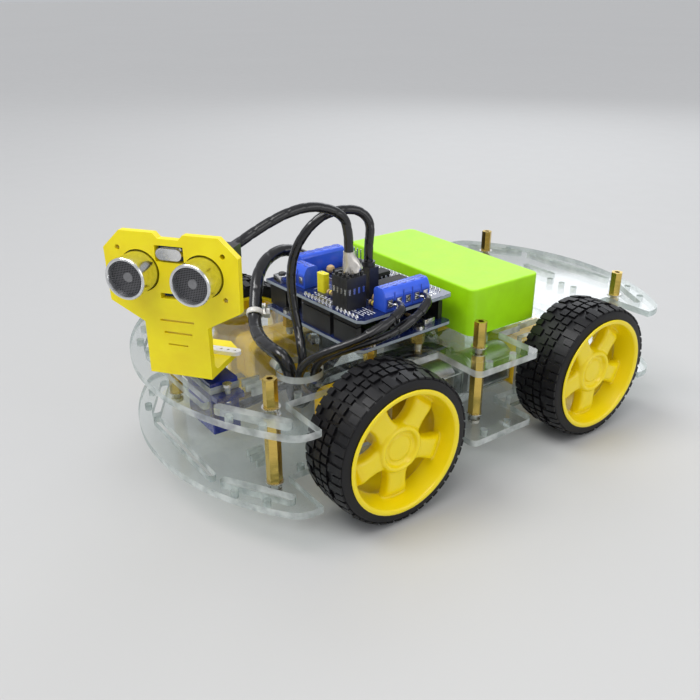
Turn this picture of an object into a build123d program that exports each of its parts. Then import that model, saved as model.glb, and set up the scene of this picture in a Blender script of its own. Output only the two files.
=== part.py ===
from build123d import *
import os
from math import atan, cos, radians, sin, sqrt, tan

# Four wheel robot chassis: two clear decks on hex pillars, four geared motors and wheels,
# a servo with a panning sensor head, a controller with a motor shield, and a battery box.
# Frame: Z up from the floor, X to the robot's left, the robot faces -Y.
# Sizes below are in millimetres from the middle of the decks; DECK_SHIFT centres the whole.

DECK_SHIFT = 6.02

# decks
DECK_T = 3.0
DECK_HALF_X = 71.3
DECK_HALF_Y = 131.0
DECK_END_R = 108.0
DECK_CORNER_R = 12.0
WAIST_X = 46.5
NOTCH_Y0 = 18.3
NOTCH_Y1 = 95.3
LOWER_TOP_Z = 21.2
PILLAR_H = 30.0
UPPER_Z = LOWER_TOP_Z + PILLAR_H
UPPER_TOP_Z = UPPER_Z + DECK_T
PILLAR_AF = 5.5
POST_AF = 5.0
POST_H = 12.0
END_PILLAR = (46.3, 101.5)
MID_PILLAR_X = 52.5
M3_R = 1.5
M3_CLEAR_R = 1.7
CABLE_HOLE = (23.6, -74.6)
CABLE_HOLE_R = 10.0

# drive
WHEEL_R = 32.5
WHEEL_Y = 58.5
WHEEL_FACE_X = 75.4
TYRE_W = 25.0
TYRE_IN_R = 26.2
RIM_LIP_R = 27.0
HUB_IN_X = 46.2
SHAFT_R = 2.7
SHAFT_FLAT = 3.7
SHAFT_END_X = 54.2
SPOKES = 5
MOTOR_OUT_X = 45.0
MOTOR_W = 18.8
MOTOR_H = 22.5
GEARBOX_NOSE = 11.25
GEARBOX_TAIL = 26.5
CAN_END = 51.6
CAN_R = 10.05
CAN_FLAT = 15.1
TAIL_END = 57.4
BOLT_BACK = 20.0
BOLT_PITCH = 17.5
BRACKET_T = 3.0
BRACKET_STEM = 12.0
BRACKET_BAR = 20.0

# sensor head
PAN_AXIS = (2.3, -107.0)
HEAD_YAW = 37.2
SERVO_L = 22.8
SERVO_W = 12.2
SERVO_H = 22.7
SERVO_TAIL = 5.9
SERVO_CASE_TOP = UPPER_Z + 4.4
TOWER_H = 4.0
SPLINE_R = 2.4
FOOT_Z = SERVO_CASE_TOP + TOWER_H + 0.8
FOOT_T = 2.4
PLATE_FRONT_Y = -19.2
PLATE_T = 3.0
EYE_Z = 101.9
EYE_PITCH = 26.0
EYE_R = 8.0
EYE_L = 13.4
HEAD_TOP_Z = 116.8

# electronics
BOARD_CORNER = (37.9, -54.0)
BOARD_YAW = 3.5
BOARD_L = 68.6
BOARD_W = 53.3
BOARD_T = 1.6
BOARD_POST_H = 5.0
BOARD_Z = UPPER_TOP_Z + BOARD_POST_H
SHIELD_Z = BOARD_Z + 13.2
SHIELD_TOP = SHIELD_Z + BOARD_T
PIN_PITCH = 2.54
BOARD_HOLES = [(-54.6, 2.5), (-53.6, 50.8), (-2.5, 7.6), (-2.5, 35.5)]

# battery box
BOX_X = (-49.9, 43.2)
BOX_Y = (3.4, 46.0)
BOX_H = 22.2
BOX_WALL = 2.0
LID_T = 2.4
CELL_R = 9.2
CELL_L = 65.0

# cords: diameter and the points of each route
SENSOR_CABLE_D = 4.0
SENSOR_CABLE = [(19.95, -101.13, 108.8), (15.7, -95.53, 108.8), (15.4, -84.4, 113.6), (16.5, -72.7, 117.9),
                (18.0, -60.9, 119.0), (19.9, -49.3, 114.0), (20.4, -47.0, 106.0), (20.4, -47.0, 98.2)]
SERVO_CABLE_D = 4.0
SERVO_CABLE = [(16.0, -33.5, 90.2), (16.0, -33.5, 98.0), (14.9, -31.4, 106.2), (13.0, -35.4, 112.0),
               (10.8, -43.5, 113.4), (8.0, -53.7, 111.0), (5.0, -62.7, 100.4), (4.0, -65.9, 87.6),
               (6.0, -66.1, 74.4), (10.5, -66.6, 64.2), (17.6, -69.6, 58.6), (19.8, -70.6, 50.0),
               (15.5, -74.0, 43.8), (10.0, -82.0, 39.0), (9.6, -91.6, 36.7), (9.6, -100.9, 36.7)]
BUNDLE_D = 6.0
BUNDLE = [(-31.354, -30.985, 77.6), (-39.818, -31.503, 77.6), (-44.8, -38.0, 81.5), (-42.0, -50.0, 80.5),
          (-34.0, -61.0, 75.5), (-24.0, -68.0, 66.5), (-16.6, -73.2, 59.4), (-6.0, -77.0, 57.8),
          (6.5, -79.4, 58.0), (18.6, -79.0, 58.2), (21.6, -77.2, 49.0), (20.4, -76.0, 38.5),
          (14.5, -69.0, 31.5), (5.5, -59.0, 29.0), (-4.5, -47.5, 29.5), (-12.0, -35.0, 32.5),
          (-17.5, -23.5, 36.6), (-22.95, -14.6, 40.4), (-22.95, -7.0, 40.4)]
LEAD_D = 3.4
LEAD_FRONT = [(35.825, -34.49, 77.6), (41.594, -34.137, 77.6), (44.8, -41.5, 75.2), (44.2, -52.0, 71.2),
              (41.5, -62.0, 67.8), (35.0, -71.0, 63.6), (29.2, -77.0, 57.8), (27.5, -78.0, 49.5),
              (25.0, -73.0, 42.5), (20.5, -61.5, 38.0), (16.5, -48.0, 36.5), (15.0, -33.0, 36.5),
              (15.2, -19.0, 38.5), (16.6, -10.4, 39.9), (20.6, -5.9, 40.4), (26.5, -5.9, 40.4)]
LEAD_REAR = [(34.897, -19.319, 77.6), (40.467, -18.978, 77.6), (43.2, -25.5, 73.8), (43.6, -35.0, 69.8),
             (43.0, -45.0, 67.0), (41.0, -55.0, 65.4), (36.8, -63.5, 62.8), (30.6, -69.6, 58.6),
             (28.6, -71.4, 50.6), (22.5, -65.4, 45.4), (14.0, -55.0, 41.4), (8.5, -42.0, 38.6),
             (7.0, -27.0, 37.2), (8.0, -12.0, 37.6), (12.0, 1.5, 39.6), (18.8, 5.9, 40.4), (26.5, 5.9, 40.4)]


def save(piece, name):
    """Move a finished piece from the deck frame to the object's frame and write it."""
    part = piece.moved(Location((0, DECK_SHIFT, 0)))
    part.label = name
    export_step(part, "parts/" + name + ".step")


def on_board(x, y):
    """A point of the controller board, from its front left corner, in the deck frame."""
    turn = radians(BOARD_YAW)
    return (BOARD_CORNER[0] + x * cos(turn) - y * sin(turn),
            BOARD_CORNER[1] + x * sin(turn) + y * cos(turn))


def board_plane(z):
    """A horizontal plane with the board's corner as origin and its edges as axes."""
    turn = radians(BOARD_YAW)
    return Plane(origin=(BOARD_CORNER[0], BOARD_CORNER[1], z), x_dir=(cos(turn), sin(turn), 0),
                 z_dir=(0, 0, 1))


def head_plane(z):
    """A horizontal plane on the pan axis, turned with the head; the head faces its -Y."""
    turn = radians(HEAD_YAW)
    return Plane(origin=(PAN_AXIS[0], PAN_AXIS[1], z), x_dir=(cos(turn), sin(turn), 0), z_dir=(0, 0, 1))


def head_face(y):
    """An upright plane of the head at its own Y, seen from the front, X to the robot's left."""
    turn = radians(HEAD_YAW)
    origin = (PAN_AXIS[0] - y * sin(turn), PAN_AXIS[1] + y * cos(turn), 0)
    return Plane(origin=origin, x_dir=(cos(turn), sin(turn), 0), z_dir=(sin(turn), -cos(turn), 0))


def corners():
    """Name, X side and Y side of the four wheel stations."""
    return [("front_left", 1, -1), ("front_right", -1, -1), ("rear_left", 1, 1), ("rear_right", -1, 1)]


PILLARS = [(sx * END_PILLAR[0], sy * END_PILLAR[1]) for sx in (1, -1) for sy in (-1, 1)]
PILLARS += [(MID_PILLAR_X, 0), (-MID_PILLAR_X, 0)]


# ---------------------------------------------------------------- decks

def deck_blank(z):
    """The outline shared by both decks, with its slots and holes, standing on height z."""
    with BuildPart() as deck:
        with BuildSketch(Plane.XY.offset(z)):
            with Locations((0, DECK_END_R - DECK_HALF_Y), (0, DECK_HALF_Y - DECK_END_R)):
                Circle(DECK_END_R)
            Rectangle(2 * DECK_HALF_X, 2 * DECK_HALF_Y, mode=Mode.INTERSECT)
        extrude(amount=DECK_T)
        fillet(deck.edges().filter_by(Axis.Z), DECK_CORNER_R)
        notch = NOTCH_Y1 - NOTCH_Y0
        with BuildSketch(Plane.XY.offset(z)):
            for side in (1, -1):
                for end in (1, -1):
                    with Locations((side * (WAIST_X + 20), end * (NOTCH_Y0 + notch / 2))):
                        Rectangle(40, notch)
                    with Locations((side * WAIST_X, end * (WHEEL_Y - BOLT_BACK))):
                        Rectangle(2 * (WAIST_X - MOTOR_OUT_X + 0.05), BRACKET_STEM + 0.4)
        extrude(amount=DECK_T, mode=Mode.SUBTRACT)
        tab = deck.edges().filter_by(Axis.Z).filter_by_position(Axis.X, 70, 80)
        tab += deck.edges().filter_by(Axis.Z).filter_by_position(Axis.X, -80, -70)
        fillet(tab.filter_by_position(Axis.Y, -NOTCH_Y0 - 1, NOTCH_Y0 + 1), 3.0)
        with BuildSketch(Plane.XY.offset(z)):
            deck_slots()
        extrude(amount=DECK_T, mode=Mode.SUBTRACT)
        with BuildSketch(Plane.XY.offset(z)):
            with Locations(*PILLARS):
                Circle(M3_CLEAR_R)
            small = ((42.7, 117.4), (55.4, 110.4), (42.4, 87.2), (66.0, 7.0))
            with Locations(*[(sx * x, sy * y) for x, y in small
                             for sx in (1, -1) for sy in (1, -1)]):
                Circle(1.6)
            with Locations((10.8, 93.6), (18.8, 93.6), (26.8, 93.6)):
                Circle(1.6)
        extrude(amount=DECK_T, mode=Mode.SUBTRACT)
    return deck


def deck_slots():
    """Bumper slots, three short slots and the inner bracket slots, in the current sketch."""
    for end in (1, -1):
        with Locations((0, end * 119.5)):
            SlotOverall(58, 3.2)
        for side in (1, -1):
            with Locations((side * 46.6, end * 109.6)):
                SlotOverall(33, 4.0, rotation=-side * end * 30.8)
            inner = side * (MOTOR_OUT_X - MOTOR_W - BRACKET_T / 2 - 0.05)
            with Locations((inner, end * (WHEEL_Y - BOLT_BACK))):
                Rectangle(BRACKET_T + 0.2, BRACKET_STEM + 0.4)
    for x, y, length in ((20.4, -96.0, 8.0), (25.0, -97.1, 7.4), (29.5, -97.4, 6.6)):
        with Locations((x, y), (-x, y)):
            SlotOverall(length, 1.6, rotation=90)
    with Locations((-4, 101.4)):
        SlotOverall(22, 3.2)


def make_decks():
    save(deck_blank(LOWER_TOP_Z - DECK_T).part, "lower_deck")
    blank = deck_blank(UPPER_Z).part
    with BuildPart() as upper:
        add(blank)
        with BuildSketch(Plane.XY.offset(UPPER_Z)):
            with Locations((servo_middle(), PAN_AXIS[1])):
                Rectangle(SERVO_L + 0.6, SERVO_W + 0.6)
            with Locations(*servo_screw_places()):
                Circle(1.1)
            with Locations(CABLE_HOLE):
                Circle(CABLE_HOLE_R)
            with Locations(*[on_board(*hole) for hole in BOARD_HOLES]):
                Circle(M3_CLEAR_R)
        extrude(amount=DECK_T, mode=Mode.SUBTRACT)
    save(upper.part, "upper_deck")


def make_pillars():
    """Long hex pillars between the decks and short hex posts with a stud, standing on top."""
    with BuildPart() as long_ones:
        with BuildSketch(Plane.XY.offset(LOWER_TOP_Z)):
            with Locations(*PILLARS):
                RegularPolygon(PILLAR_AF / 2, 6, major_radius=False)
                Circle(M3_R + 0.05, mode=Mode.SUBTRACT)
        extrude(amount=PILLAR_H)
    save(long_ones.part, "deck_pillars")
    with BuildPart() as short_ones:
        with BuildSketch(Plane.XY.offset(UPPER_TOP_Z)):
            with Locations(*PILLARS):
                RegularPolygon(POST_AF / 2, 6, major_radius=False)
        extrude(amount=POST_H)
        with BuildSketch(Plane.XY.offset(UPPER_Z - 5)):
            with Locations(*PILLARS):
                Circle(M3_R)
        extrude(amount=5 + DECK_T)
        with BuildSketch(Plane.XY.offset(UPPER_TOP_Z + POST_H)):
            with Locations(*PILLARS):
                Circle(1.25)
        extrude(amount=-8, mode=Mode.SUBTRACT)
    save(short_ones.part, "upper_posts")
    with BuildPart() as screws:
        with BuildSketch(Plane.XY.offset(LOWER_TOP_Z - DECK_T)):
            with Locations(*PILLARS):
                Circle(2.8)
        extrude(amount=-2.0)
        fillet(screws.edges().group_by(Axis.Z)[0], 0.9)
        with BuildSketch(Plane.XY.offset(LOWER_TOP_Z - DECK_T)):
            with Locations(*PILLARS):
                Circle(M3_R)
        extrude(amount=DECK_T + 5)
        with BuildSketch(Plane.XY.offset(LOWER_TOP_Z - DECK_T - 2.0)):
            with Locations(*PILLARS):
                Rectangle(3.0, 0.7)
                Rectangle(0.7, 3.0)
        extrude(amount=0.9, mode=Mode.SUBTRACT)
        with BuildSketch(Plane.XY.offset(UPPER_TOP_Z)):
            with Locations(*servo_screw_places()):
                Circle(1.9)
        extrude(amount=1.3)
        with BuildSketch(Plane.XY.offset(UPPER_Z - 4)):
            with Locations(*servo_screw_places()):
                Circle(1.0)
        extrude(amount=4 + DECK_T)
        board_places = [on_board(*hole) for hole in BOARD_HOLES]
        with BuildSketch(Plane.XY.offset(BOARD_Z + BOARD_T)):
            with Locations(*board_places):
                Circle(2.6)
        extrude(amount=1.7)
        with BuildSketch(Plane.XY.offset(UPPER_Z - 1)):
            with Locations(*board_places):
                Circle(M3_R)
        extrude(amount=BOARD_Z + BOARD_T - UPPER_Z + 1)
    save(screws.part, "deck_screws")


# ---------------------------------------------------------------- drive

def motor_plane(side, end, x):
    """Upright plane across the car at X: its x runs from the axle to the motor's tail, its y is up."""
    return Plane(origin=(side * x, end * WHEEL_Y, WHEEL_R), x_dir=(0, -end, 0), z_dir=(-end, 0, 0))


def outward(side, end):
    """Sign that makes an extrusion from motor_plane go away from the car's middle."""
    return -side * end


def make_gearbox(name, side, end):
    out = outward(side, end)
    length = GEARBOX_NOSE + GEARBOX_TAIL
    with BuildPart() as box:
        with BuildSketch(motor_plane(side, end, MOTOR_OUT_X)):
            with Locations(((GEARBOX_TAIL - GEARBOX_NOSE) / 2, 0)):
                Rectangle(length, MOTOR_H)
        extrude(amount=-out * MOTOR_W)
        nose = box.edges().filter_by(Axis.X).group_by(SortBy.LENGTH)[0]
        fillet(nose.filter_by(lambda e: abs(e.center().Y) > WHEEL_Y), 5.0)
        chamfer(box.edges().filter_by(Axis.X).filter_by(lambda e: abs(e.center().Y) < WHEEL_Y - 20), 2.0)
        for x in (MOTOR_OUT_X, MOTOR_OUT_X - MOTOR_W):
            chamfer(box.faces().filter_by(Axis.X).filter_by(lambda f, at=x: abs(abs(f.center().X) - at) < 0.1)
                    .edges(), 0.6)
        with BuildSketch(motor_plane(side, end, MOTOR_OUT_X - 4)):
            Circle(9.75)
        extrude(amount=-out * 9, mode=Mode.SUBTRACT)
        with BuildSketch(motor_plane(side, end, MOTOR_OUT_X)):
            Circle(SHAFT_R + 0.06)
            with Locations((BOLT_BACK, BOLT_PITCH / 2), (BOLT_BACK, -BOLT_PITCH / 2)):
                Circle(1.65)
        extrude(amount=-out * MOTOR_W, mode=Mode.SUBTRACT)
        with BuildSketch(motor_plane(side, end, MOTOR_OUT_X - 0.2)):
            with Locations((11.4, 0)):
                Circle(2.0)
        extrude(amount=out * 1.2)
        seam = Plane.YZ.offset(side * (MOTOR_OUT_X - MOTOR_W / 2))
        with BuildSketch(seam):
            with Locations((end * (WHEEL_Y - (GEARBOX_TAIL - GEARBOX_NOSE) / 2), WHEEL_R)):
                Rectangle(length + 2, MOTOR_H + 2)
                Rectangle(length - 0.7, MOTOR_H - 0.7, mode=Mode.SUBTRACT)
        extrude(amount=0.2, both=True, mode=Mode.SUBTRACT)
    save(box.part, "gearbox_" + name)


def make_motor(name, side, end):
    """The drawn steel can with its flats, the tail cap and the solder tab block."""
    middle = MOTOR_OUT_X - MOTOR_W / 2
    y_can = end * (WHEEL_Y - GEARBOX_TAIL - 0.1)
    with BuildPart() as motor:
        with BuildSketch(Plane(origin=(side * middle, y_can, WHEEL_R), x_dir=(1, 0, 0), z_dir=(0, -end, 0))):
            Circle(CAN_R)
            Rectangle(CAN_FLAT, 3 * CAN_R, mode=Mode.INTERSECT)
        extrude(amount=CAN_END - GEARBOX_TAIL - 0.1)
        y_cap = end * (WHEEL_Y - CAN_END)
        with BuildSketch(Plane(origin=(side * middle, y_cap, WHEEL_R), x_dir=(1, 0, 0), z_dir=(0, -end, 0))):
            Circle(CAN_R - 0.5)
            Rectangle(CAN_FLAT - 0.8, 3 * CAN_R, mode=Mode.INTERSECT)
        extrude(amount=2.6)
        with BuildSketch(Plane(origin=(side * middle, y_cap, WHEEL_R), x_dir=(1, 0, 0), z_dir=(0, -end, 0))):
            Circle(3.0)
        extrude(amount=TAIL_END - CAN_END)
        inner = side * (MOTOR_OUT_X - MOTOR_W + 2.3)
        with Locations((inner, end * 5.9, 40.4)):
            Box(4.0, 2.4, 3.0)
    save(motor.part, "motor_" + name)


def make_straps():
    """Clear straps that hold each can on its gearbox, hooked round the tail."""
    middle = MOTOR_OUT_X - MOTOR_W / 2
    inner_w = CAN_FLAT + 0.2
    with BuildPart() as straps:
        for name, side, end in corners():
            y0 = WHEEL_Y - GEARBOX_TAIL - 0.3
            y1 = WHEEL_Y - TAIL_END - 0.1
            with BuildSketch(Plane.XY.offset(WHEEL_R - 5.5)):
                with Locations((side * middle, end * (y0 + y1 - 0.9) / 2)):
                    RectangleRounded(inner_w + 1.8, y0 - y1 + 0.9, 1.6)
                with Locations((side * middle, end * (y0 + y1 + 4) / 2)):
                    Rectangle(inner_w, y0 - y1 + 4, mode=Mode.SUBTRACT)
                with Locations((side * middle, end * y0)):
                    Rectangle(inner_w + 4, 3.4, mode=Mode.SUBTRACT)
            extrude(amount=11)
    save(straps.part, "motor_straps")


def make_brackets():
    """T shaped clear brackets, an outer and an inner one at each motor."""
    with BuildPart() as brackets:
        for name, side, end in corners():
            out = outward(side, end)
            for face, grow in ((MOTOR_OUT_X + 0.05, out), (MOTOR_OUT_X - MOTOR_W - 0.05, -out)):
                with BuildSketch(motor_plane(side, end, face)):
                    low = LOWER_TOP_Z - DECK_T - 0.1 - WHEEL_R
                    with Locations((BOLT_BACK, (48.2 - WHEEL_R + low) / 2)):
                        Rectangle(BRACKET_STEM, 48.2 - WHEEL_R - low)
                    with Locations((BOLT_BACK, low - 3)):
                        RectangleRounded(BRACKET_BAR, 6, 1.2)
                    with Locations((BOLT_BACK, BOLT_PITCH / 2), (BOLT_BACK, -BOLT_PITCH / 2)):
                        Circle(1.65, mode=Mode.SUBTRACT)
                extrude(amount=grow * BRACKET_T)
    save(brackets.part, "motor_brackets")


def make_motor_bolts():
    head_x = MOTOR_OUT_X + BRACKET_T + 0.05
    nut_x = MOTOR_OUT_X - MOTOR_W - BRACKET_T - 0.05
    with BuildPart() as bolts:
        for name, side, end in corners():
            out = outward(side, end)
            places = [(BOLT_BACK, BOLT_PITCH / 2), (BOLT_BACK, -BOLT_PITCH / 2)]
            with BuildSketch(motor_plane(side, end, head_x)):
                with Locations(*places):
                    Circle(2.75)
            extrude(amount=out * 1.6)
            with BuildSketch(motor_plane(side, end, head_x)):
                with Locations(*places):
                    Circle(M3_R)
            extrude(amount=-out * 30)
            with BuildSketch(motor_plane(side, end, head_x + 1.6)):
                with Locations(*places):
                    Rectangle(3.0, 0.7)
                    Rectangle(0.7, 3.0)
            extrude(amount=-out * 0.8, mode=Mode.SUBTRACT)
        for name, side, end in corners():
            with BuildSketch(motor_plane(side, end, nut_x)):
                with Locations((BOLT_BACK, BOLT_PITCH / 2), (BOLT_BACK, -BOLT_PITCH / 2)):
                    RegularPolygon(2.5, 6, major_radius=False)
                    Circle(M3_R, mode=Mode.SUBTRACT)
            extrude(amount=-outward(side, end) * 2.4)
    save(bolts.part, "motor_fasteners")


def wheel_plane(side, end, x):
    """Plane of a wheel at distance X, facing out of the car; its y is up."""
    return Plane(origin=(side * x, end * WHEEL_Y, WHEEL_R), x_dir=(0, side, 0), z_dir=(side, 0, 0))


def make_tyre(name, side, end):
    """A plain tyre out to the top of the tread, with chamfered shoulders."""
    with BuildPart() as tyre:
        with BuildSketch(wheel_plane(side, end, WHEEL_FACE_X - 0.4)):
            Circle(WHEEL_R)
            Circle(TYRE_IN_R, mode=Mode.SUBTRACT)
        extrude(amount=-(TYRE_W - 0.4))
        rims = tyre.edges().filter_by(GeomType.CIRCLE).filter_by(lambda e: e.radius > TYRE_IN_R + 1)
        chamfer(rims, 1.3)
    save(tyre.part, "tyre_" + name)


def make_rim(name, side, end):
    inner_x = WHEEL_FACE_X - TYRE_W
    disc_x = WHEEL_FACE_X - 9.0
    with BuildPart() as rim:
        with BuildSketch(wheel_plane(side, end, inner_x)):
            Circle(TYRE_IN_R - 0.04)
            Circle(TYRE_IN_R - 2.2, mode=Mode.SUBTRACT)
        extrude(amount=TYRE_W)
        with BuildSketch(wheel_plane(side, end, WHEEL_FACE_X - 0.35)):
            Circle(RIM_LIP_R)
            Circle(TYRE_IN_R - 2.2, mode=Mode.SUBTRACT)
        extrude(amount=0.8)
        with BuildSketch(wheel_plane(side, end, disc_x)):
            Circle(TYRE_IN_R - 1.0)
        extrude(amount=2.6)
        with BuildSketch(wheel_plane(side, end, disc_x)) as windows:
            with PolarLocations(15.5, SPOKES, start_angle=16):
                RegularPolygon(10.5, 3, rotation=180)
            fillet(windows.vertices(), 2.2)
        extrude(amount=2.6, mode=Mode.SUBTRACT)
        with BuildSketch(wheel_plane(side, end, disc_x)):
            Circle(9.5)
        extrude(amount=4.4)
        with BuildSketch(wheel_plane(side, end, HUB_IN_X)):
            Circle(5.2)
        extrude(amount=WHEEL_FACE_X - 4.6 - HUB_IN_X)
        with BuildSketch(wheel_plane(side, end, HUB_IN_X)):
            Circle(SHAFT_R + 0.05)
            Rectangle(SHAFT_FLAT + 0.1, 8, mode=Mode.INTERSECT)
        extrude(amount=SHAFT_END_X - HUB_IN_X + 0.4, mode=Mode.SUBTRACT)
    save(rim.part, "rim_" + name)


def make_axle(name, side, end):
    """Output shaft with its final gear; the outer end has two flats, the inner end is a round stub."""
    inner_end = MOTOR_OUT_X - MOTOR_W - 8.0
    with BuildPart() as axle:
        with BuildSketch(wheel_plane(side, end, inner_end)):
            Circle(SHAFT_R)
        extrude(amount=SHAFT_END_X - inner_end)
        with BuildSketch(wheel_plane(side, end, HUB_IN_X - 0.2)):
            for flat in (1, -1):
                with Locations((flat * (SHAFT_FLAT / 2 + 2), 0)):
                    Rectangle(4, 8)
        extrude(amount=SHAFT_END_X - HUB_IN_X + 0.4, mode=Mode.SUBTRACT)
        with BuildSketch(wheel_plane(side, end, MOTOR_OUT_X - 8.5)):
            Circle(8.2)
            with PolarLocations(8.5, 24):
                Rectangle(1.2, 1.1)
        extrude(amount=4)
    save(axle.part, "output_shaft_" + name)


# ---------------------------------------------------------------- sensor head

def servo_middle():
    return PAN_AXIS[0] + SERVO_L / 2 - SERVO_TAIL


def servo_screw_places():
    return [(servo_middle() + s * 13.9, PAN_AXIS[1]) for s in (1, -1)]


def make_servo():
    bottom = SERVO_CASE_TOP - SERVO_H
    with BuildPart() as case:
        with BuildSketch(Plane.XY.offset(bottom)):
            with Locations((servo_middle(), PAN_AXIS[1])):
                RectangleRounded(SERVO_L, SERVO_W, 0.6)
        extrude(amount=SERVO_H)
        with BuildSketch(Plane.XY.offset(UPPER_Z - 2.55)):
            with Locations((servo_middle(), PAN_AXIS[1])):
                Rectangle(32.2, SERVO_W - 0.2)
            with Locations(*servo_screw_places()):
                Circle(1.1, mode=Mode.SUBTRACT)
        extrude(amount=2.5)
        with BuildSketch(Plane.XY.offset(SERVO_CASE_TOP)):
            with Locations(PAN_AXIS):
                Circle(5.9)
            with Locations((PAN_AXIS[0] + 6.2, PAN_AXIS[1])):
                Circle(2.6)
        extrude(amount=TOWER_H)
        with BuildSketch(Plane.XY.offset(SERVO_CASE_TOP + TOWER_H)):
            with Locations(PAN_AXIS):
                Circle(SPLINE_R + 0.06)
        extrude(amount=-6, mode=Mode.SUBTRACT)
    save(case.part, "servo_case")
    with BuildPart() as spline:
        with BuildSketch(Plane.XY.offset(SERVO_CASE_TOP + TOWER_H - 5.8)):
            with Locations(PAN_AXIS):
                Circle(SPLINE_R)
        extrude(amount=FOOT_Z + FOOT_T + 0.6 - (SERVO_CASE_TOP + TOWER_H - 5.8))
    save(spline.part, "servo_shaft")


def make_horn():
    top = FOOT_Z + FOOT_T
    with BuildPart() as horn:
        with BuildSketch(head_plane(top + 0.05)):
            SlotCenterToCenter(28.4, 4.4)
            Circle(3.6)
            with Locations(*[(s * x, 0) for s in (1, -1) for x in (8, 11, 14)]):
                Circle(0.6, mode=Mode.SUBTRACT)
        extrude(amount=1.6)
        with BuildSketch(head_plane(SERVO_CASE_TOP + TOWER_H + 0.3)):
            Circle(3.6)
        extrude(amount=top + 0.05 - (SERVO_CASE_TOP + TOWER_H + 0.3))
        with BuildSketch(head_plane(SERVO_CASE_TOP + TOWER_H + 0.3)):
            Circle(SPLINE_R + 0.01)
        extrude(amount=6, mode=Mode.SUBTRACT)
    save(horn.part, "servo_horn")


def head_outline():
    """Half the width of the face at each height, from the foot up, then the notch in the top."""
    half = [(13.2, FOOT_Z), (13.2, 81.6), (26.9, 89.0), (27.3, 109.8), (20.0, HEAD_TOP_Z), (6.0, HEAD_TOP_Z),
            (4.2, HEAD_TOP_Z - 2.0)]
    return half + [(-x, z) for x, z in reversed(half)]


def make_bracket():
    """Printed face with two eye holes, a window and slots, on a foot that the horn lies on."""
    with BuildPart() as bracket:
        with BuildSketch(head_face(PLATE_FRONT_Y + PLATE_T)):
            with BuildLine():
                Polyline(*head_outline(), close=True)
            make_face()
            with Locations((-EYE_PITCH / 2, EYE_Z), (EYE_PITCH / 2, EYE_Z)):
                Circle(EYE_R + 0.2, mode=Mode.SUBTRACT)
            with Locations((0, 109.2)):
                Rectangle(11.6, 6.2, mode=Mode.SUBTRACT)
            with Locations((0, 92.9)):
                Rectangle(10.4, 2.2, mode=Mode.SUBTRACT)
            with Locations((0.5, 83.0)):
                Rectangle(14.2, 0.8, mode=Mode.SUBTRACT)
            with Locations((0.5, 78.1)):
                Rectangle(11.8, 0.8, mode=Mode.SUBTRACT)
            with Locations((0, 73.2)):
                Rectangle(8.5, 0.6, mode=Mode.SUBTRACT)
            with Locations(*[(sx * 21.3, z) for sx in (1, -1) for z in (110.2, 93.7)]):
                Circle(1.0, mode=Mode.SUBTRACT)
        extrude(amount=PLATE_T)
        with BuildSketch(head_plane(FOOT_Z)):
            with BuildLine():
                Polyline((-13.2, PLATE_FRONT_Y + 1), (-13.2, 4.8), (-6.8, 11.3), (6.8, 11.3), (13.2, 4.8),
                         (13.2, PLATE_FRONT_Y + 1), close=True)
            make_face()
            Circle(3.9, mode=Mode.SUBTRACT)
        extrude(amount=FOOT_T)
        with BuildSketch(head_face(PLATE_FRONT_Y + PLATE_T)):
            with Locations((0, FOOT_Z + FOOT_T + 1.0)):
                Rectangle(26.4, 2.0)
        extrude(amount=-2.0)
        inside = bracket.edges().filter_by(lambda e: abs(e.center().Z - (FOOT_Z + FOOT_T + 2.0)) < 0.01)
        chamfer(inside.filter_by(lambda e: e.length > 26)[-1:], 1.9)
    save(bracket.part, "sensor_bracket")


def make_sensor():
    board_y = PLATE_FRONT_Y + PLATE_T
    with BuildPart() as board:
        with BuildSketch(head_face(board_y + 0.02)):
            with Locations((0, EYE_Z)):
                Rectangle(45.5, 20.4)
            with Locations(*[(sx * 21.3, z) for sx in (1, -1) for z in (110.2, 93.7)]):
                Circle(0.9, mode=Mode.SUBTRACT)
        extrude(amount=-BOARD_T)
    save(board.part, "sensor_board")
    with BuildPart() as eyes:
        with BuildSketch(head_face(board_y)):
            with Locations((-EYE_PITCH / 2, EYE_Z), (EYE_PITCH / 2, EYE_Z)):
                Circle(EYE_R)
        extrude(amount=EYE_L)
        fillet(eyes.edges().filter_by(GeomType.CIRCLE).sort_by(Axis.Y)[:2], 0.6)
        with BuildSketch(head_face(board_y - EYE_L)):
            with Locations((-EYE_PITCH / 2, EYE_Z), (EYE_PITCH / 2, EYE_Z)):
                Circle(6.3)
        extrude(amount=-1.2, mode=Mode.SUBTRACT)
    save(eyes.part, "sensor_eyes")
    with BuildPart() as crystal:
        with BuildSketch(head_face(board_y)):
            with Locations((0, 109.2)):
                SlotOverall(10.4, 4.4)
        extrude(amount=3.4)
    save(crystal.part, "sensor_crystal")
    with BuildPart() as plug:
        with BuildSketch(head_face(board_y + 0.02 + BOARD_T)):
            with Locations((17.6, 108.8)):
                Rectangle(9.8, 5.8)
        extrude(amount=-8.55)
    save(plug.part, "sensor_plug")


# ---------------------------------------------------------------- electronics

def board_outline():
    """Edges of a board, its origin in the front left corner."""
    with BuildLine() as outline:
        Polyline((-BOARD_L, 0), (-2.4, 0), (0, 2.4), (0, BOARD_W - 1.2), (-1.2, BOARD_W), (-BOARD_L, BOARD_W),
                 close=True)
    return outline.line.edges()


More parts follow.
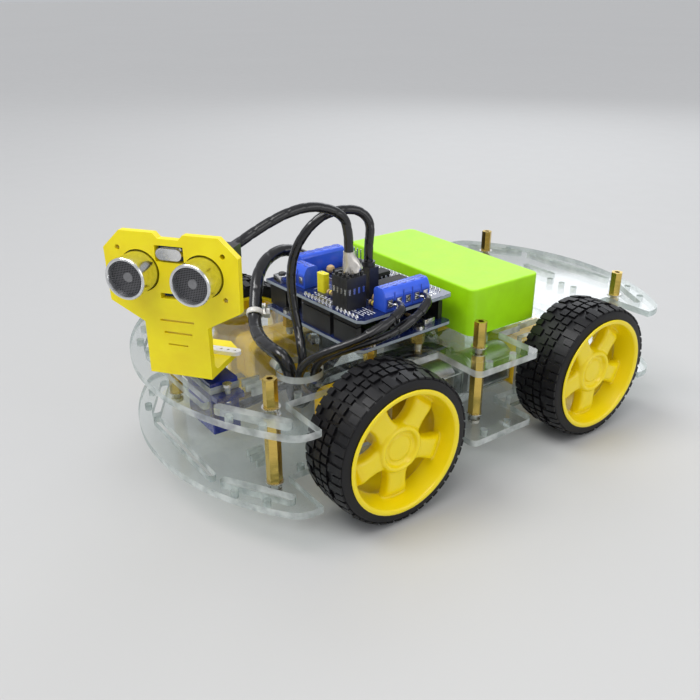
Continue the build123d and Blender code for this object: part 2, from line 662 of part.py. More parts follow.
def make_controller():
    outline = board_outline()
    with BuildPart() as board:
        with BuildSketch(board_plane(BOARD_Z)):
            make_face(outline)
            with Locations(*BOARD_HOLES):
                Circle(M3_CLEAR_R, mode=Mode.SUBTRACT)
        extrude(amount=BOARD_T)
    save(board.part, "controller_board")
    top = BOARD_Z + BOARD_T
    with BuildPart() as usb:
        with BuildSketch(board_plane(top)):
            with Locations((-BOARD_L + 2.0, 37.7)):
                Rectangle(16.4, 12.0)
        extrude(amount=10.9)
        end_plane = Plane(origin=board_point(-BOARD_L - 6.2, 37.7, top + 5.4),
                          x_dir=board_axis(90), z_dir=board_axis(0))
        with BuildSketch(end_plane):
            Rectangle(10.0, 8.8)
        extrude(amount=12, mode=Mode.SUBTRACT)
    save(usb.part, "usb_socket")
    with BuildPart() as jack:
        with BuildSketch(board_plane(top)):
            with Locations((-BOARD_L + 4.6, 7.8)):
                Rectangle(12.6, 8.9)
        extrude(amount=10.9)
        end_plane = Plane(origin=board_point(-BOARD_L - 1.7, 7.8, top + 6.2),
                          x_dir=board_axis(90), z_dir=board_axis(0))
        with BuildSketch(end_plane):
            Circle(3.2)
        extrude(amount=9, mode=Mode.SUBTRACT)
    save(jack.part, "power_jack")
    with BuildPart() as sockets:
        with BuildSketch(board_plane(top)):
            for x, y, count in header_rows():
                with Locations((x, y)):
                    Rectangle(count * PIN_PITCH, 2.5)
        extrude(amount=8.5)
        with BuildSketch(board_plane(top + 8.5)):
            for x, y, count in header_rows():
                with Locations(*[(x + (i - (count - 1) / 2) * PIN_PITCH, y) for i in range(count)]):
                    Rectangle(0.9, 0.9)
        extrude(amount=-7.0, mode=Mode.SUBTRACT)
    save(sockets.part, "controller_headers")
    with BuildPart() as chip:
        with BuildSketch(board_plane(top + 0.6)):
            with Locations((-24, 14.5)):
                Rectangle(35.6, 7.0)
        extrude(amount=3.6)
        with BuildSketch(board_plane(top)):
            legs = [(-24 + (i - 6.5) * PIN_PITCH, 14.5 + s * 3.9) for i in range(14) for s in (1, -1)]
            with Locations(*legs):
                Rectangle(0.6, 1.0)
        extrude(amount=2.4)
    save(chip.part, "controller_chip")


def header_rows():
    """Middle x, y and number of pins of the four header rows."""
    return [(-37.9, 50.8, 10), (-14.8, 50.8, 8), (-31.8, 2.5, 8), (-11.5, 2.5, 6)]


def board_point(x, y, z):
    return on_board(x, y) + (z,)


def board_axis(angle):
    """A horizontal direction at an angle from the board's own X."""
    turn = radians(BOARD_YAW + angle)
    return (cos(turn), sin(turn), 0)


def make_board_posts():
    places = [on_board(*hole) for hole in BOARD_HOLES]
    with BuildPart() as posts:
        with BuildSketch(Plane.XY.offset(UPPER_TOP_Z)):
            with Locations(*places):
                RegularPolygon(2.5, 6, major_radius=False)
                Circle(M3_R + 0.05, mode=Mode.SUBTRACT)
        extrude(amount=BOARD_POST_H)
    save(posts.part, "board_posts")


# middle x and y, number of ways, and turn of the openings from the front edge
TERMINALS = [(-4.8, 27.2, 5, 90), (-63.8, 27.2, 5, -90), (-50.6, 9.2, 2, 0)]


def make_shield():
    outline = board_outline()
    with BuildPart() as board:
        with BuildSketch(board_plane(SHIELD_Z)):
            make_face(outline)
        extrude(amount=BOARD_T)
    save(board.part, "shield_board")
    with BuildPart() as pins:
        with BuildSketch(board_plane(SHIELD_Z)):
            for x, y, count in header_rows():
                with Locations((x, y)):
                    Rectangle(count * PIN_PITCH, 2.4)
        extrude(amount=-2.5)
        with BuildSketch(board_plane(BOARD_Z + BOARD_T + 2.2)):
            for x, y, count in header_rows():
                with Locations(*[(x + (i - (count - 1) / 2) * PIN_PITCH, y) for i in range(count)]):
                    Rectangle(0.64, 0.64)
        extrude(amount=SHIELD_Z - BOARD_Z - BOARD_T - 2.4)
    save(pins.part, "shield_pins")
    with BuildPart() as chips:
        for x in CHIP_X:
            with BuildSketch(board_plane(SHIELD_TOP + 0.9)):
                with Locations((x, 34.4)):
                    Rectangle(6.4, 19.4)
            extrude(amount=3.5)
            with BuildSketch(board_plane(SHIELD_TOP)):
                legs = [(x + s * 3.7, 34.4 + (i - 3.5) * PIN_PITCH) for i in range(8) for s in (1, -1)]
                with Locations(*legs):
                    Rectangle(1.1, 0.7)
            extrude(amount=2.6)
    save(chips.part, "shield_chips")
    with BuildPart() as terminals:
        for x, y, count, facing in TERMINALS:
            turned = Location((x, y), facing)
            rungs = [((i - (count - 1) / 2) * 5.08, 0) for i in range(count)]
            with BuildSketch(board_plane(SHIELD_TOP)):
                with Locations(turned):
                    Rectangle(count * 5.08, 7.8)
            extrude(amount=10.0)
            with BuildSketch(board_plane(SHIELD_TOP + 10)):
                with Locations(turned):
                    with Locations(*rungs):
                        Circle(1.7)
            extrude(amount=-2.2, mode=Mode.SUBTRACT)
            mouth = on_board(x + 3.9 * sin(radians(facing)), y - 3.9 * cos(radians(facing)))
            front = Plane(origin=mouth + (SHIELD_TOP + 3.6,), x_dir=board_axis(facing),
                          z_dir=board_axis(facing - 90))
            with BuildSketch(front):
                with Locations(*rungs):
                    Rectangle(3.0, 4.0)
            extrude(amount=-4.5, mode=Mode.SUBTRACT)
    save(terminals.part, "screw_terminals")
    with BuildPart() as jumper:
        with BuildSketch(board_plane(SHIELD_TOP)):
            with Locations((-38.2, 10.4)):
                RectangleRounded(5.6, 3.4, 1.0)
        extrude(amount=8.6)
    save(jumper.part, "power_jumper")


CHIP_X = (-21.8, -34.2, -46.6)


SIGNAL_PLUG = (20.4, -47.0)
SERVO_PLUG = (16.0, -33.5)


def make_plugs():
    """Black pin housings on the shield for the sensor and the servo, and the sensor's metal sleeve."""
    with BuildPart() as plugs:
        with BuildSketch(Plane.XY.offset(SHIELD_TOP)):
            with Locations(SIGNAL_PLUG):
                Rectangle(10.2, 10.2, rotation=BOARD_YAW)
            with Locations(SERVO_PLUG):
                Rectangle(7.6, 5.1, rotation=BOARD_YAW)
        extrude(amount=14.2)
        with BuildSketch(Plane.XY.offset(SHIELD_TOP + 14.2)):
            with Locations(SERVO_PLUG):
                Circle(2.9)
        extrude(amount=90.2 - SHIELD_TOP - 14.2)
    save(plugs.part, "signal_plugs")
    with BuildPart() as sleeve:
        with BuildSketch(Plane.XY.offset(SHIELD_TOP + 14.2)):
            with Locations(SIGNAL_PLUG):
                Ellipse(5.0, 4.2)
        with BuildSketch(Plane.XY.offset(98.2)):
            with Locations(SIGNAL_PLUG):
                Circle(2.9)
        loft()
    save(sleeve.part, "plug_sleeve")


# ---------------------------------------------------------------- battery box

def make_battery_box():
    size_x = BOX_X[1] - BOX_X[0]
    size_y = BOX_Y[1] - BOX_Y[0]
    middle = ((BOX_X[0] + BOX_X[1]) / 2, (BOX_Y[0] + BOX_Y[1]) / 2)
    case_h = BOX_H - LID_T
    with BuildPart() as case:
        with BuildSketch(Plane.XY.offset(UPPER_TOP_Z)):
            with Locations(middle):
                RectangleRounded(size_x, size_y, 3.5)
        extrude(amount=case_h)
        with BuildSketch(Plane.XY.offset(UPPER_TOP_Z + BOX_WALL)):
            with Locations(middle):
                RectangleRounded(size_x - 2 * BOX_WALL, size_y - 2 * BOX_WALL, 1.5)
        extrude(amount=case_h, mode=Mode.SUBTRACT)
    save(case.part, "battery_case")
    with BuildPart() as lid:
        with BuildSketch(Plane.XY.offset(UPPER_TOP_Z + case_h)):
            with Locations(middle):
                RectangleRounded(size_x, size_y, 3.5)
        extrude(amount=LID_T)
        fillet(lid.edges().group_by(Axis.Z)[-1], 0.8)
        with BuildSketch(Plane.XY.offset(UPPER_TOP_Z + case_h)):
            with Locations(middle):
                RectangleRounded(size_x - 2 * BOX_WALL - 0.3, size_y - 2 * BOX_WALL - 0.3, 1.3)
                RectangleRounded(size_x - 2 * BOX_WALL - 3.3, size_y - 2 * BOX_WALL - 3.3, 0.8,
                                 mode=Mode.SUBTRACT)
        extrude(amount=-1.4)
    save(lid.part, "battery_lid")
    with BuildPart() as cells:
        for s in (1, -1):
            cell_y = middle[1] + s * (CELL_R + 0.2)
            spot = (middle[0] - CELL_L / 2, cell_y, UPPER_TOP_Z + BOX_WALL + CELL_R - 0.65)
            with BuildSketch(Plane(origin=spot, x_dir=(0, 1, 0), z_dir=(1, 0, 0))):
                Circle(CELL_R - 0.7)
            extrude(amount=CELL_L)
            end = (spot[0] + CELL_L, spot[1], spot[2])
            with BuildSketch(Plane(origin=end, x_dir=(0, 1, 0), z_dir=(1, 0, 0))):
                Circle(2.8)
            extrude(amount=1.2)
    save(cells.part, "battery_cells")


# ---------------------------------------------------------------- cords

def corner_radii(points):
    """Largest tangent arcs that the runs allow: 0.45 of the shorter run over tan of half the turn."""
    route = [Vector(*p) for p in points]
    radii = []
    for before, here, after in zip(route, route[1:], route[2:]):
        run_in = here - before
        run_out = after - here
        half_turn = radians(run_in.get_angle(run_out)) / 2
        radii.append(0.45 * min(run_in.length, run_out.length) / tan(half_turn))
    return radii


def make_cord(name, points, diameter):
    radii = corner_radii(points)
    with BuildPart() as cord:
        with BuildLine() as path:
            FilletPolyline(*points, radius=radii)
        start = path.line
        with BuildSketch(Plane(origin=start @ 0, z_dir=start % 0)):
            Circle(diameter / 2)
        sweep()
    length = sum(edge.length for edge in path.line.edges())
    section = 3.14159265 * diameter ** 2 / 4
    print(name, "length", round(length, 1), "volume ratio", round(cord.part.volume / (section * length), 4),
          "radii in diameters", [round(r / diameter, 1) for r in radii])
    save(cord.part, name)


def make_junction():
    """Block where the bundle's strands join the two right motors."""
    with BuildPart() as block:
        with Locations((-22.95, 0, 40.4)):
            Box(7.0, 14.0, 7.0)
        chamfer(block.edges().filter_by(Axis.Y), 0.8)
    save(block.part, "motor_junction")


def make_tie():
    """Clear tie round the bundle where it drops to the deck, with its square head."""
    turn = Vector(*BUNDLE[6]) - Vector(*BUNDLE[5])
    spot = (Vector(*BUNDLE[5]) + Vector(*BUNDLE[6])) / 2
    with BuildPart() as tie:
        with BuildSketch(Plane(origin=spot, z_dir=turn.normalized())):
            Circle(BUNDLE_D / 2 + 1.3)
            with Locations((BUNDLE_D / 2 + 2.2, 0)):
                Rectangle(4.0, 4.6)
            Circle(BUNDLE_D / 2 + 0.3, mode=Mode.SUBTRACT)
        extrude(amount=1.8, both=True)
    save(tie.part, "cable_tie")


def main():
    os.makedirs("parts", exist_ok=True)
    make_decks()
    make_pillars()
    for name, side, end in corners():
        make_gearbox(name, side, end)
        make_motor(name, side, end)
        make_tyre(name, side, end)
        make_rim(name, side, end)
        make_axle(name, side, end)
    make_straps()
    make_brackets()
    make_motor_bolts()
    make_servo()
    make_horn()
    make_bracket()
    make_sensor()
    make_controller()
    make_board_posts()
    make_shield()
    make_plugs()
    make_battery_box()
    make_cord("sensor_cable", SENSOR_CABLE, SENSOR_CABLE_D)
    make_cord("servo_cable", SERVO_CABLE, SERVO_CABLE_D)
    make_cord("lead_bundle", BUNDLE, BUNDLE_D)
    make_cord("front_motor_lead", LEAD_FRONT, LEAD_D)
    make_cord("rear_motor_lead", LEAD_REAR, LEAD_D)
    make_junction()
    make_tie()


main()
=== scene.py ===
import bpy
import bmesh
from math import atan2, ceil, cos, pi, radians, sin
from mathutils import Matrix, Quaternion, Vector


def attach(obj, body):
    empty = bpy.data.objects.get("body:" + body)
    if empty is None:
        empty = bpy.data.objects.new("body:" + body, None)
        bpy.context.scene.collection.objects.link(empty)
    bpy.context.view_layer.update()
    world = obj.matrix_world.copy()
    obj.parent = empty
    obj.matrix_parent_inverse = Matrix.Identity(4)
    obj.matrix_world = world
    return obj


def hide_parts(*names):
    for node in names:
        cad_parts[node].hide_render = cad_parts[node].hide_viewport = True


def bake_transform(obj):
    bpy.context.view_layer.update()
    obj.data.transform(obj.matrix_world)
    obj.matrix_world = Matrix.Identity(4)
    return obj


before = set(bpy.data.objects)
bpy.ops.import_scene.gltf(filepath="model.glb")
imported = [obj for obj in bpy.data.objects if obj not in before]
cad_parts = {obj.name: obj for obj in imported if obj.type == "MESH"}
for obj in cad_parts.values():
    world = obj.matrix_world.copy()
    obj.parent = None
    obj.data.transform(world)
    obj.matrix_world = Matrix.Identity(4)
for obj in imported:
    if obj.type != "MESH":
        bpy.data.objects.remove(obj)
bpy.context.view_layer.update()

# Lengths in the helpers are millimetres from the middle of the decks, floor at zero.
# Angles are degrees about Z: the boards stand a little askew, and the head looks to one side at rest.
DECK_SHIFT = 6.02
BOARD_TURN = 3.5
HEAD_TURN = 37.2
PIN_PITCH = 2.54
BOARD_THICK = 1.6
TO_FRAME = Matrix.Scale(0.001, 4) @ Matrix.Translation((0, DECK_SHIFT, 0))


def spot(x, y, z):
    return Vector((x / 1000, (y + DECK_SHIFT) / 1000, z / 1000))


def new_object(name, data):
    obj = bpy.data.objects.new(name, data)
    bpy.context.scene.collection.objects.link(obj)
    return obj


# ---------------------------------------------------------------- camera

# The photo's own camera, solved from parts of known size.
CAMERA_AT = (269.96, -224.46, 194.29)
LOOKED_AT = (-0.74, -31.54, 41.17)
CAMERA_ROLL = -0.004

camera_data = bpy.data.cameras.new("camera")
camera_data.lens = 39.65
camera_data.sensor_width = 36
camera_data.clip_start = 0.01
camera_data.clip_end = 80
camera = new_object("camera", camera_data)
camera.location = spot(*CAMERA_AT)
aim = spot(*LOOKED_AT) - camera.location
camera.rotation_mode = "QUATERNION"
camera.rotation_quaternion = aim.to_track_quat("-Z", "Y") @ Quaternion((0, 0, 1), CAMERA_ROLL)
bpy.context.scene.camera = camera
bpy.context.scene.view_settings.view_transform = "Standard"


# ---------------------------------------------------------------- materials

# A wave texture of scale 1 repeats after the first length; copper runs lie the second length apart. Metres.
WAVE_PERIOD = 1 / 3.18
TRACK_PITCH = 0.0011517


def graph(name):
    mat = bpy.data.materials.new(name)
    mat.use_nodes = True
    nodes = mat.node_tree.nodes
    shader = nodes["Principled BSDF"]
    return mat, nodes, mat.node_tree.links, shader


def put(nodes, kind, **inputs):
    node = nodes.new(kind)
    for key, value in inputs.items():
        node.inputs[key.replace("_", " ")].default_value = value
    return node


def noise(nodes, links, coords, scale, detail=4.0, rough=0.55):
    node = put(nodes, "ShaderNodeTexNoise", Scale=scale, Detail=detail, Roughness=rough)
    links.new(coords.outputs["Object"], node.inputs["Vector"])
    return node


def ramp(nodes, links, value, low, high, start=0.3, stop=0.7):
    node = nodes.new("ShaderNodeValToRGB")
    node.color_ramp.elements[0].position = start
    node.color_ramp.elements[1].position = stop
    node.color_ramp.elements[0].color = (*low, 1)
    node.color_ramp.elements[1].color = (*high, 1)
    links.new(value, node.inputs["Fac"])
    return node


def map_range(nodes, links, value, low, high):
    node = nodes.new("ShaderNodeMapRange")
    node.inputs["To Min"].default_value = low
    node.inputs["To Max"].default_value = high
    links.new(value, node.inputs["Value"])
    return node


def bump(nodes, links, height, shader, strength, distance):
    node = put(nodes, "ShaderNodeBump", Strength=strength, Distance=distance)
    links.new(height, node.inputs["Height"])
    links.new(node.outputs["Normal"], shader.inputs["Normal"])
    return node


def turned_back(nodes, links, coords, turn):
    """Object coordinates turned back by an angle, so that a pattern runs along a board or the head."""
    mapping = nodes.new("ShaderNodeMapping")
    mapping.inputs["Rotation"].default_value = (0, 0, radians(-turn))
    links.new(coords.outputs["Object"], mapping.inputs["Vector"])
    return mapping


def surface(name, colour, rough, vary=0.12, scale=180.0, grain=900.0, lift=0.00004, coat=0.0,
            glow=0.0, specular=0.5):
    """A base for most pieces: cloudy colour, uneven gloss and a fine grain."""
    mat, nodes, links, shader = graph(name)
    coords = nodes.new("ShaderNodeTexCoord")
    cloud = noise(nodes, links, coords, scale)
    low = tuple(c * (1 - vary) for c in colour)
    high = tuple(min(1.0, c * (1 + vary)) for c in colour)
    tint = ramp(nodes, links, cloud.outputs["Fac"], low, high)
    links.new(tint.outputs["Color"], shader.inputs["Base Color"])
    fine = noise(nodes, links, coords, grain, 3.0)
    gloss = map_range(nodes, links, fine.outputs["Fac"], rough * 0.8, min(1.0, rough * 1.25))
    links.new(gloss.outputs["Result"], shader.inputs["Roughness"])
    shader.inputs["Specular IOR Level"].default_value = specular
    shader.inputs["Coat Weight"].default_value = coat
    shader.inputs["Coat Roughness"].default_value = 0.08
    if glow:
        shader.inputs["Subsurface Weight"].default_value = glow
        shader.inputs["Subsurface Radius"].default_value = (0.002, 0.0015, 0.0008)
    if lift:
        bump(nodes, links, fine.outputs["Fac"], shader, 0.35, lift)
    return mat


def clear_sheet(name, through_tint, edge, axis):
    """Clear sheet: see-through faces with a glassy reflection, and cut edges with a painted highlight in
    bright streaks.

    axis is the direction through the sheet; surfaces that face away from it are cut edges."""
    mat, nodes, links, shader = graph(name)
    coords = nodes.new("ShaderNodeTexCoord")
    through = nodes.new("ShaderNodeBsdfTransparent")
    through.inputs["Color"].default_value = (*through_tint, 1)
    glaze = put(nodes, "ShaderNodeBsdfGlossy", Roughness=0.05)
    grazing = put(nodes, "ShaderNodeLayerWeight", Blend=0.5)
    gloss = ramp(nodes, links, grazing.outputs["Facing"], (0.035, 0.035, 0.035), (0.6, 0.6, 0.6), 0.45, 1.0)
    face = nodes.new("ShaderNodeMixShader")
    links.new(gloss.outputs["Color"], face.inputs["Fac"])
    links.new(through.outputs["BSDF"], face.inputs[1])
    links.new(glaze.outputs["BSDF"], face.inputs[2])
    dusty = nodes.new("ShaderNodeMixShader")
    scratch = noise(nodes, links, coords, 300.0, 8.0, 0.75)
    dust = ramp(nodes, links, scratch.outputs["Fac"], (0.0, 0.0, 0.0), (0.1, 0.1, 0.1), 0.52, 0.8)
    links.new(dust.outputs["Color"], dusty.inputs["Fac"])
    shader.inputs["Base Color"].default_value = (0.9, 0.92, 0.93, 1)
    shader.inputs["Roughness"].default_value = 0.3
    links.new(face.outputs["Shader"], dusty.inputs[1])
    links.new(shader.outputs["BSDF"], dusty.inputs[2])
    # Painted highlight: the cut edges are coloured near-white in streaks, standing for light carried through
    # the sheet to its edges, mixed with a tinted see-through.
    cut = nodes.new("ShaderNodeBsdfPrincipled")
    streak = noise(nodes, links, coords, 130.0, 3.0, 0.5)
    painted_edge_highlight = ramp(nodes, links, streak.outputs["Fac"], tuple(c * 0.82 for c in edge), edge, 0.38, 0.6)
    links.new(painted_edge_highlight.outputs["Color"], cut.inputs["Base Color"])
    cut.inputs["Roughness"].default_value = 0.12
    cut.inputs["Coat Weight"].default_value = 0.8
    dark = nodes.new("ShaderNodeBsdfTransparent")
    dark.inputs["Color"].default_value = (0.5, 0.58, 0.56, 1)
    cut_mix = nodes.new("ShaderNodeMixShader")
    share = ramp(nodes, links, streak.outputs["Fac"], (0.3, 0.3, 0.3), (0.55, 0.55, 0.55), 0.35, 0.65)
    links.new(share.outputs["Color"], cut_mix.inputs["Fac"])
    links.new(dark.outputs["BSDF"], cut_mix.inputs[1])
    links.new(cut.outputs["BSDF"], cut_mix.inputs[2])
    geometry = nodes.new("ShaderNodeNewGeometry")
    split = nodes.new("ShaderNodeSeparateXYZ")
    links.new(geometry.outputs["True Normal"], split.inputs["Vector"])
    size = nodes.new("ShaderNodeMath")
    size.operation = "ABSOLUTE"
    links.new(split.outputs[axis], size.inputs[0])
    is_edge = nodes.new("ShaderNodeMath")
    is_edge.operation = "LESS_THAN"
    is_edge.inputs[1].default_value = 0.5
    links.new(size.outputs["Value"], is_edge.inputs[0])
    whole = nodes.new("ShaderNodeMixShader")
    links.new(is_edge.outputs["Value"], whole.inputs["Fac"])
    links.new(dusty.outputs["Shader"], whole.inputs[1])
    links.new(cut_mix.outputs["Shader"], whole.inputs[2])
    links.new(whole.outputs["Shader"], nodes["Material Output"].inputs["Surface"])
    return mat


def layered(name, colour, rough, pitch, strength):
    """Printed plastic: thin stacked layers on a cloudy colour."""
    mat = surface(name, colour, rough, vary=0.07, scale=90.0, lift=0.0)
    nodes, links = mat.node_tree.nodes, mat.node_tree.links
    shader = nodes["Principled BSDF"]
    coords = nodes.new("ShaderNodeTexCoord")
    wave = put(nodes, "ShaderNodeTexWave", Scale=WAVE_PERIOD / pitch, Distortion=0.6, Detail=1.0)
    wave.bands_direction = "Z"
    links.new(coords.outputs["Object"], wave.inputs["Vector"])
    bump(nodes, links, wave.outputs["Fac"], shader, strength, 0.00006)
    return mat


def solder_mask(name, colour, turn, upright):
    """Board: glossy dark mask over fine copper runs, along the board in some patches and across in others."""
    mat, nodes, links, shader = graph(name)
    coords = nodes.new("ShaderNodeTexCoord")
    mapping = turned_back(nodes, links, coords, turn)
    patch = noise(nodes, links, coords, 110.0, 1.0)
    side = ramp(nodes, links, patch.outputs["Fac"], (0, 0, 0), (1, 1, 1), 0.49, 0.51)
    runs = nodes.new("ShaderNodeMixRGB")
    links.new(side.outputs["Color"], runs.inputs["Fac"])
    for axis, socket in (("X", "Color1"), (upright, "Color2")):
        wave = put(nodes, "ShaderNodeTexWave", Scale=WAVE_PERIOD / TRACK_PITCH)
        wave.bands_direction = axis
        links.new(mapping.outputs["Vector"], wave.inputs["Vector"])
        line = ramp(nodes, links, wave.outputs["Fac"], (0, 0, 0), (1, 1, 1), 0.72, 0.86)
        links.new(line.outputs["Color"], runs.inputs[socket])
    breaks = noise(nodes, links, coords, 260.0, 1.0)
    kept = ramp(nodes, links, breaks.outputs["Fac"], (0, 0, 0), (1, 1, 1), 0.43, 0.47)
    track = nodes.new("ShaderNodeMixRGB")
    track.blend_type = "MULTIPLY"
    track.inputs["Fac"].default_value = 1.0
    links.new(runs.outputs["Color"], track.inputs["Color1"])
    links.new(kept.outputs["Color"], track.inputs["Color2"])
    bright = tuple(c * 1.8 + 0.012 for c in colour)
    tint = ramp(nodes, links, track.outputs["Color"], colour, bright, 0.0, 1.0)
    speck = noise(nodes, links, coords, 700.0, 3.0)
    dots = ramp(nodes, links, speck.outputs["Fac"], (0, 0, 0), (0.12, 0.14, 0.2), 0.62, 0.72)
    total = nodes.new("ShaderNodeMixRGB")
    total.blend_type = "ADD"
    total.inputs["Fac"].default_value = 1.0
    links.new(tint.outputs["Color"], total.inputs["Color1"])
    links.new(dots.outputs["Color"], total.inputs["Color2"])
    links.new(total.outputs["Color"], shader.inputs["Base Color"])
    shader.inputs["Roughness"].default_value = 0.22
    shader.inputs["Coat Weight"].default_value = 0.5
    bump(nodes, links, track.outputs["Color"], shader, 0.25, 0.00003)
    return mat


def brushed(name, colour, rough, stretch=(1, 1, 14)):
    """Drawn or machined metal with fine streaks."""
    mat, nodes, links, shader = graph(name)
    coords = nodes.new("ShaderNodeTexCoord")
    mapping = nodes.new("ShaderNodeMapping")
    mapping.inputs["Scale"].default_value = stretch
    links.new(coords.outputs["Object"], mapping.inputs["Vector"])
    streak = put(nodes, "ShaderNodeTexNoise", Scale=260.0, Detail=6.0, Roughness=0.6)
    links.new(mapping.outputs["Vector"], streak.inputs["Vector"])
    tint = ramp(nodes, links, streak.outputs["Fac"], tuple(c * 0.78 for c in colour), colour)
    links.new(tint.outputs["Color"], shader.inputs["Base Color"])
    gloss = map_range(nodes, links, streak.outputs["Fac"], rough * 0.7, rough * 1.4)
    links.new(gloss.outputs["Result"], shader.inputs["Roughness"])
    shader.inputs["Metallic"].default_value = 1.0
    bump(nodes, links, streak.outputs["Fac"], shader, 0.3, 0.00003)
    return mat


def woven_mesh(name):
    """Dark wire gauze behind the rim of each sensor eye."""
    mat, nodes, links, shader = graph(name)
    coords = nodes.new("ShaderNodeTexCoord")
    mapping = turned_back(nodes, links, coords, HEAD_TURN)
    top = nodes.new("ShaderNodeMath")
    top.operation = "MAXIMUM"
    for i, axis in enumerate("XZ"):
        wires = put(nodes, "ShaderNodeTexWave", Scale=480.0)
        wires.bands_direction = axis
        links.new(mapping.outputs["Vector"], wires.inputs["Vector"])
        links.new(wires.outputs["Fac"], top.inputs[i])
    tint = ramp(nodes, links, top.outputs["Value"], (0.004, 0.004, 0.005), (0.16, 0.16, 0.17), 0.6, 0.9)
    links.new(tint.outputs["Color"], shader.inputs["Base Color"])
    shader.inputs["Metallic"].default_value = 0.7
    shader.inputs["Roughness"].default_value = 0.4
    bump(nodes, links, top.outputs["Value"], shader, 0.8, 0.0001)
    return mat


# The third colour of each clear sheet is the near-white painted highlight on its cut edges.
ACRYLIC = clear_sheet("deck_acrylic", (0.95, 0.97, 0.965), (0.93, 0.96, 0.94), "Z")
BRACKET = clear_sheet("bracket_acrylic", (0.94, 0.96, 0.955), (0.9, 0.94, 0.92), "X")
BRASS = brushed("brass", (0.78, 0.56, 0.14), 0.2)
STEEL = brushed("plated_steel", (0.74, 0.73, 0.71), 0.26, (6, 6, 6))
CAN = brushed("motor_can", (0.62, 0.62, 0.63), 0.3, (1, 12, 1))
TIN = brushed("tinned_metal", (0.86, 0.86, 0.85), 0.22, (5, 5, 5))
FOIL = brushed("shrunk_sleeve", (0.84, 0.8, 0.74), 0.38, (3, 3, 1))
EYE_METAL = brushed("eye_can", (0.8, 0.81, 0.82), 0.2, (2, 2, 2))
GAUZE = woven_mesh("eye_gauze")
EYE_CONE = brushed("eye_cone", (0.3, 0.3, 0.31), 0.35, (4, 4, 4))
RIM_YELLOW = surface("rim_yellow", (0.95, 0.75, 0.0), 0.3, vary=0.05, coat=0.3)
GEAR_YELLOW = surface("gearbox_yellow", (0.86, 0.53, 0.0), 0.36, vary=0.08, coat=0.2)
PRINT_YELLOW = layered("printed_yellow", (1.0, 0.8, 0.0), 0.36, 0.00042, 0.3)
LIME = layered("printed_lime", (0.4, 0.83, 0.002), 0.42, 0.00045, 0.22)
JUMPER = surface("jumper_yellow", (0.95, 0.82, 0.01), 0.4)
RUBBER = surface("tyre_rubber", (0.006, 0.0058, 0.007), 0.42, vary=0.35, scale=140.0, lift=0.00006,
                 specular=0.32)
BLUE_CASE = surface("servo_blue", (0.006, 0.02, 0.2), 0.2, vary=0.15, coat=0.5)
TERMINAL = surface("terminal_blue", (0.035, 0.12, 0.8), 0.3, vary=0.08, coat=0.25)
TERMINAL_SHADOW = surface("terminal_shadow", (0.02, 0.05, 0.35), 0.4)
BLACK = surface("black_moulding", (0.015, 0.015, 0.016), 0.38, vary=0.3, coat=0.15)
CHIP = surface("chip_epoxy", (0.012, 0.0115, 0.011), 0.5, vary=0.2, grain=1500.0, specular=0.3)
SHEATH = surface("cable_sheath", (0.007, 0.007, 0.008), 0.24, vary=0.3, coat=0.25)
WHITE = surface("white_nylon", (0.84, 0.83, 0.8), 0.4, vary=0.05, glow=0.1)
NYLON = surface("clear_nylon", (0.72, 0.7, 0.66), 0.3, vary=0.06, coat=0.3, glow=0.1)
MASK = solder_mask("board_mask", (0.006, 0.014, 0.075), BOARD_TURN, "Y")
SENSOR_MASK = solder_mask("sensor_mask", (0.01, 0.05, 0.22), HEAD_TURN, "Z")
CELL = surface("cell_wrap", (0.05, 0.3, 0.12), 0.25, coat=0.5)
INK = surface("board_ink", (0.85, 0.87, 0.9), 0.55, vary=0.04)
CERAMIC = surface("ceramic_tan", (0.6, 0.42, 0.2), 0.45)
BOARD_EDGE = surface("board_edge", (0.33, 0.38, 0.43), 0.5, vary=0.1)

LOOKS = {
    "motor_brackets": BRACKET,
    "motor_straps": BRACKET,
    "deck_pillars": BRASS,
    "upper_posts": BRASS,
    "board_posts": BRASS,
    "deck_screws": STEEL,
    "motor_fasteners": STEEL,
    "gearbox": GEAR_YELLOW,
    "motor_junction": BLACK,
    "motor": CAN,
    "output_shaft": WHITE,
    "servo_case": BLUE_CASE,
    "servo_shaft": WHITE,
    "servo_horn": WHITE,
    "sensor_bracket": PRINT_YELLOW,
    "sensor_board": SENSOR_MASK,
    "sensor_crystal": TIN,
    "sensor_plug": BLACK,
    "usb_socket": TIN,
    "power_jack": BLACK,
    "controller_headers": BLACK,
    "controller_chip": CHIP,
    "controller_board": MASK,
    "shield_board": MASK,
    "shield_pins": BLACK,
    "signal_plugs": BLACK,
    "power_jumper": JUMPER,
    "battery_case": LIME,
    "battery_lid": LIME,
    "battery_cells": CELL,
}


def look_of(node):
    """Acrylic for the decks, and for the rest the look under the longest key that starts the node's name."""
    if node.endswith("_deck"):
        return ACRYLIC
    keys = [k for k in LOOKS if node.startswith(k)]
    return LOOKS[max(keys, key=len)] if keys else BLACK


for node_name, node_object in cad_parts.items():
    node_object.data.materials.clear()
    node_object.data.materials.append(look_of(node_name))


# ---------------------------------------------------------------- mesh helpers

def finish_mesh(name, bm, mats, body, angle=32, to_frame=True):
    """The object made of bm, with edges above angle sharp. to_frame is for a bm in deck millimetres."""
    bmesh.ops.recalc_face_normals(bm, faces=bm.faces)
    if to_frame:
        bm.transform(TO_FRAME)
    mesh = bpy.data.meshes.new(name)
    bm.to_mesh(mesh)
    bm.free()
    for mat in mats:
        mesh.materials.append(mat)
    mesh.shade_smooth()
    mesh.set_sharp_from_angle(angle=radians(angle))
    obj = new_object(name, mesh)
    if body:
        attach(obj, body)
    return obj


def paint(bm, before, slot):
    for face in bm.faces:
        if face not in before:
            face.material_index = slot


def bridge(bm, rings):
    """A capped tube through rings of equally many vertices."""
    sides = len(rings[0])
    for first, second in zip(rings, rings[1:]):
        for i in range(sides):
            j = (i + 1) % sides
            bm.faces.new((first[i], first[j], second[j], second[i]))
    bm.faces.new(rings[0][::-1])
    bm.faces.new(rings[-1])


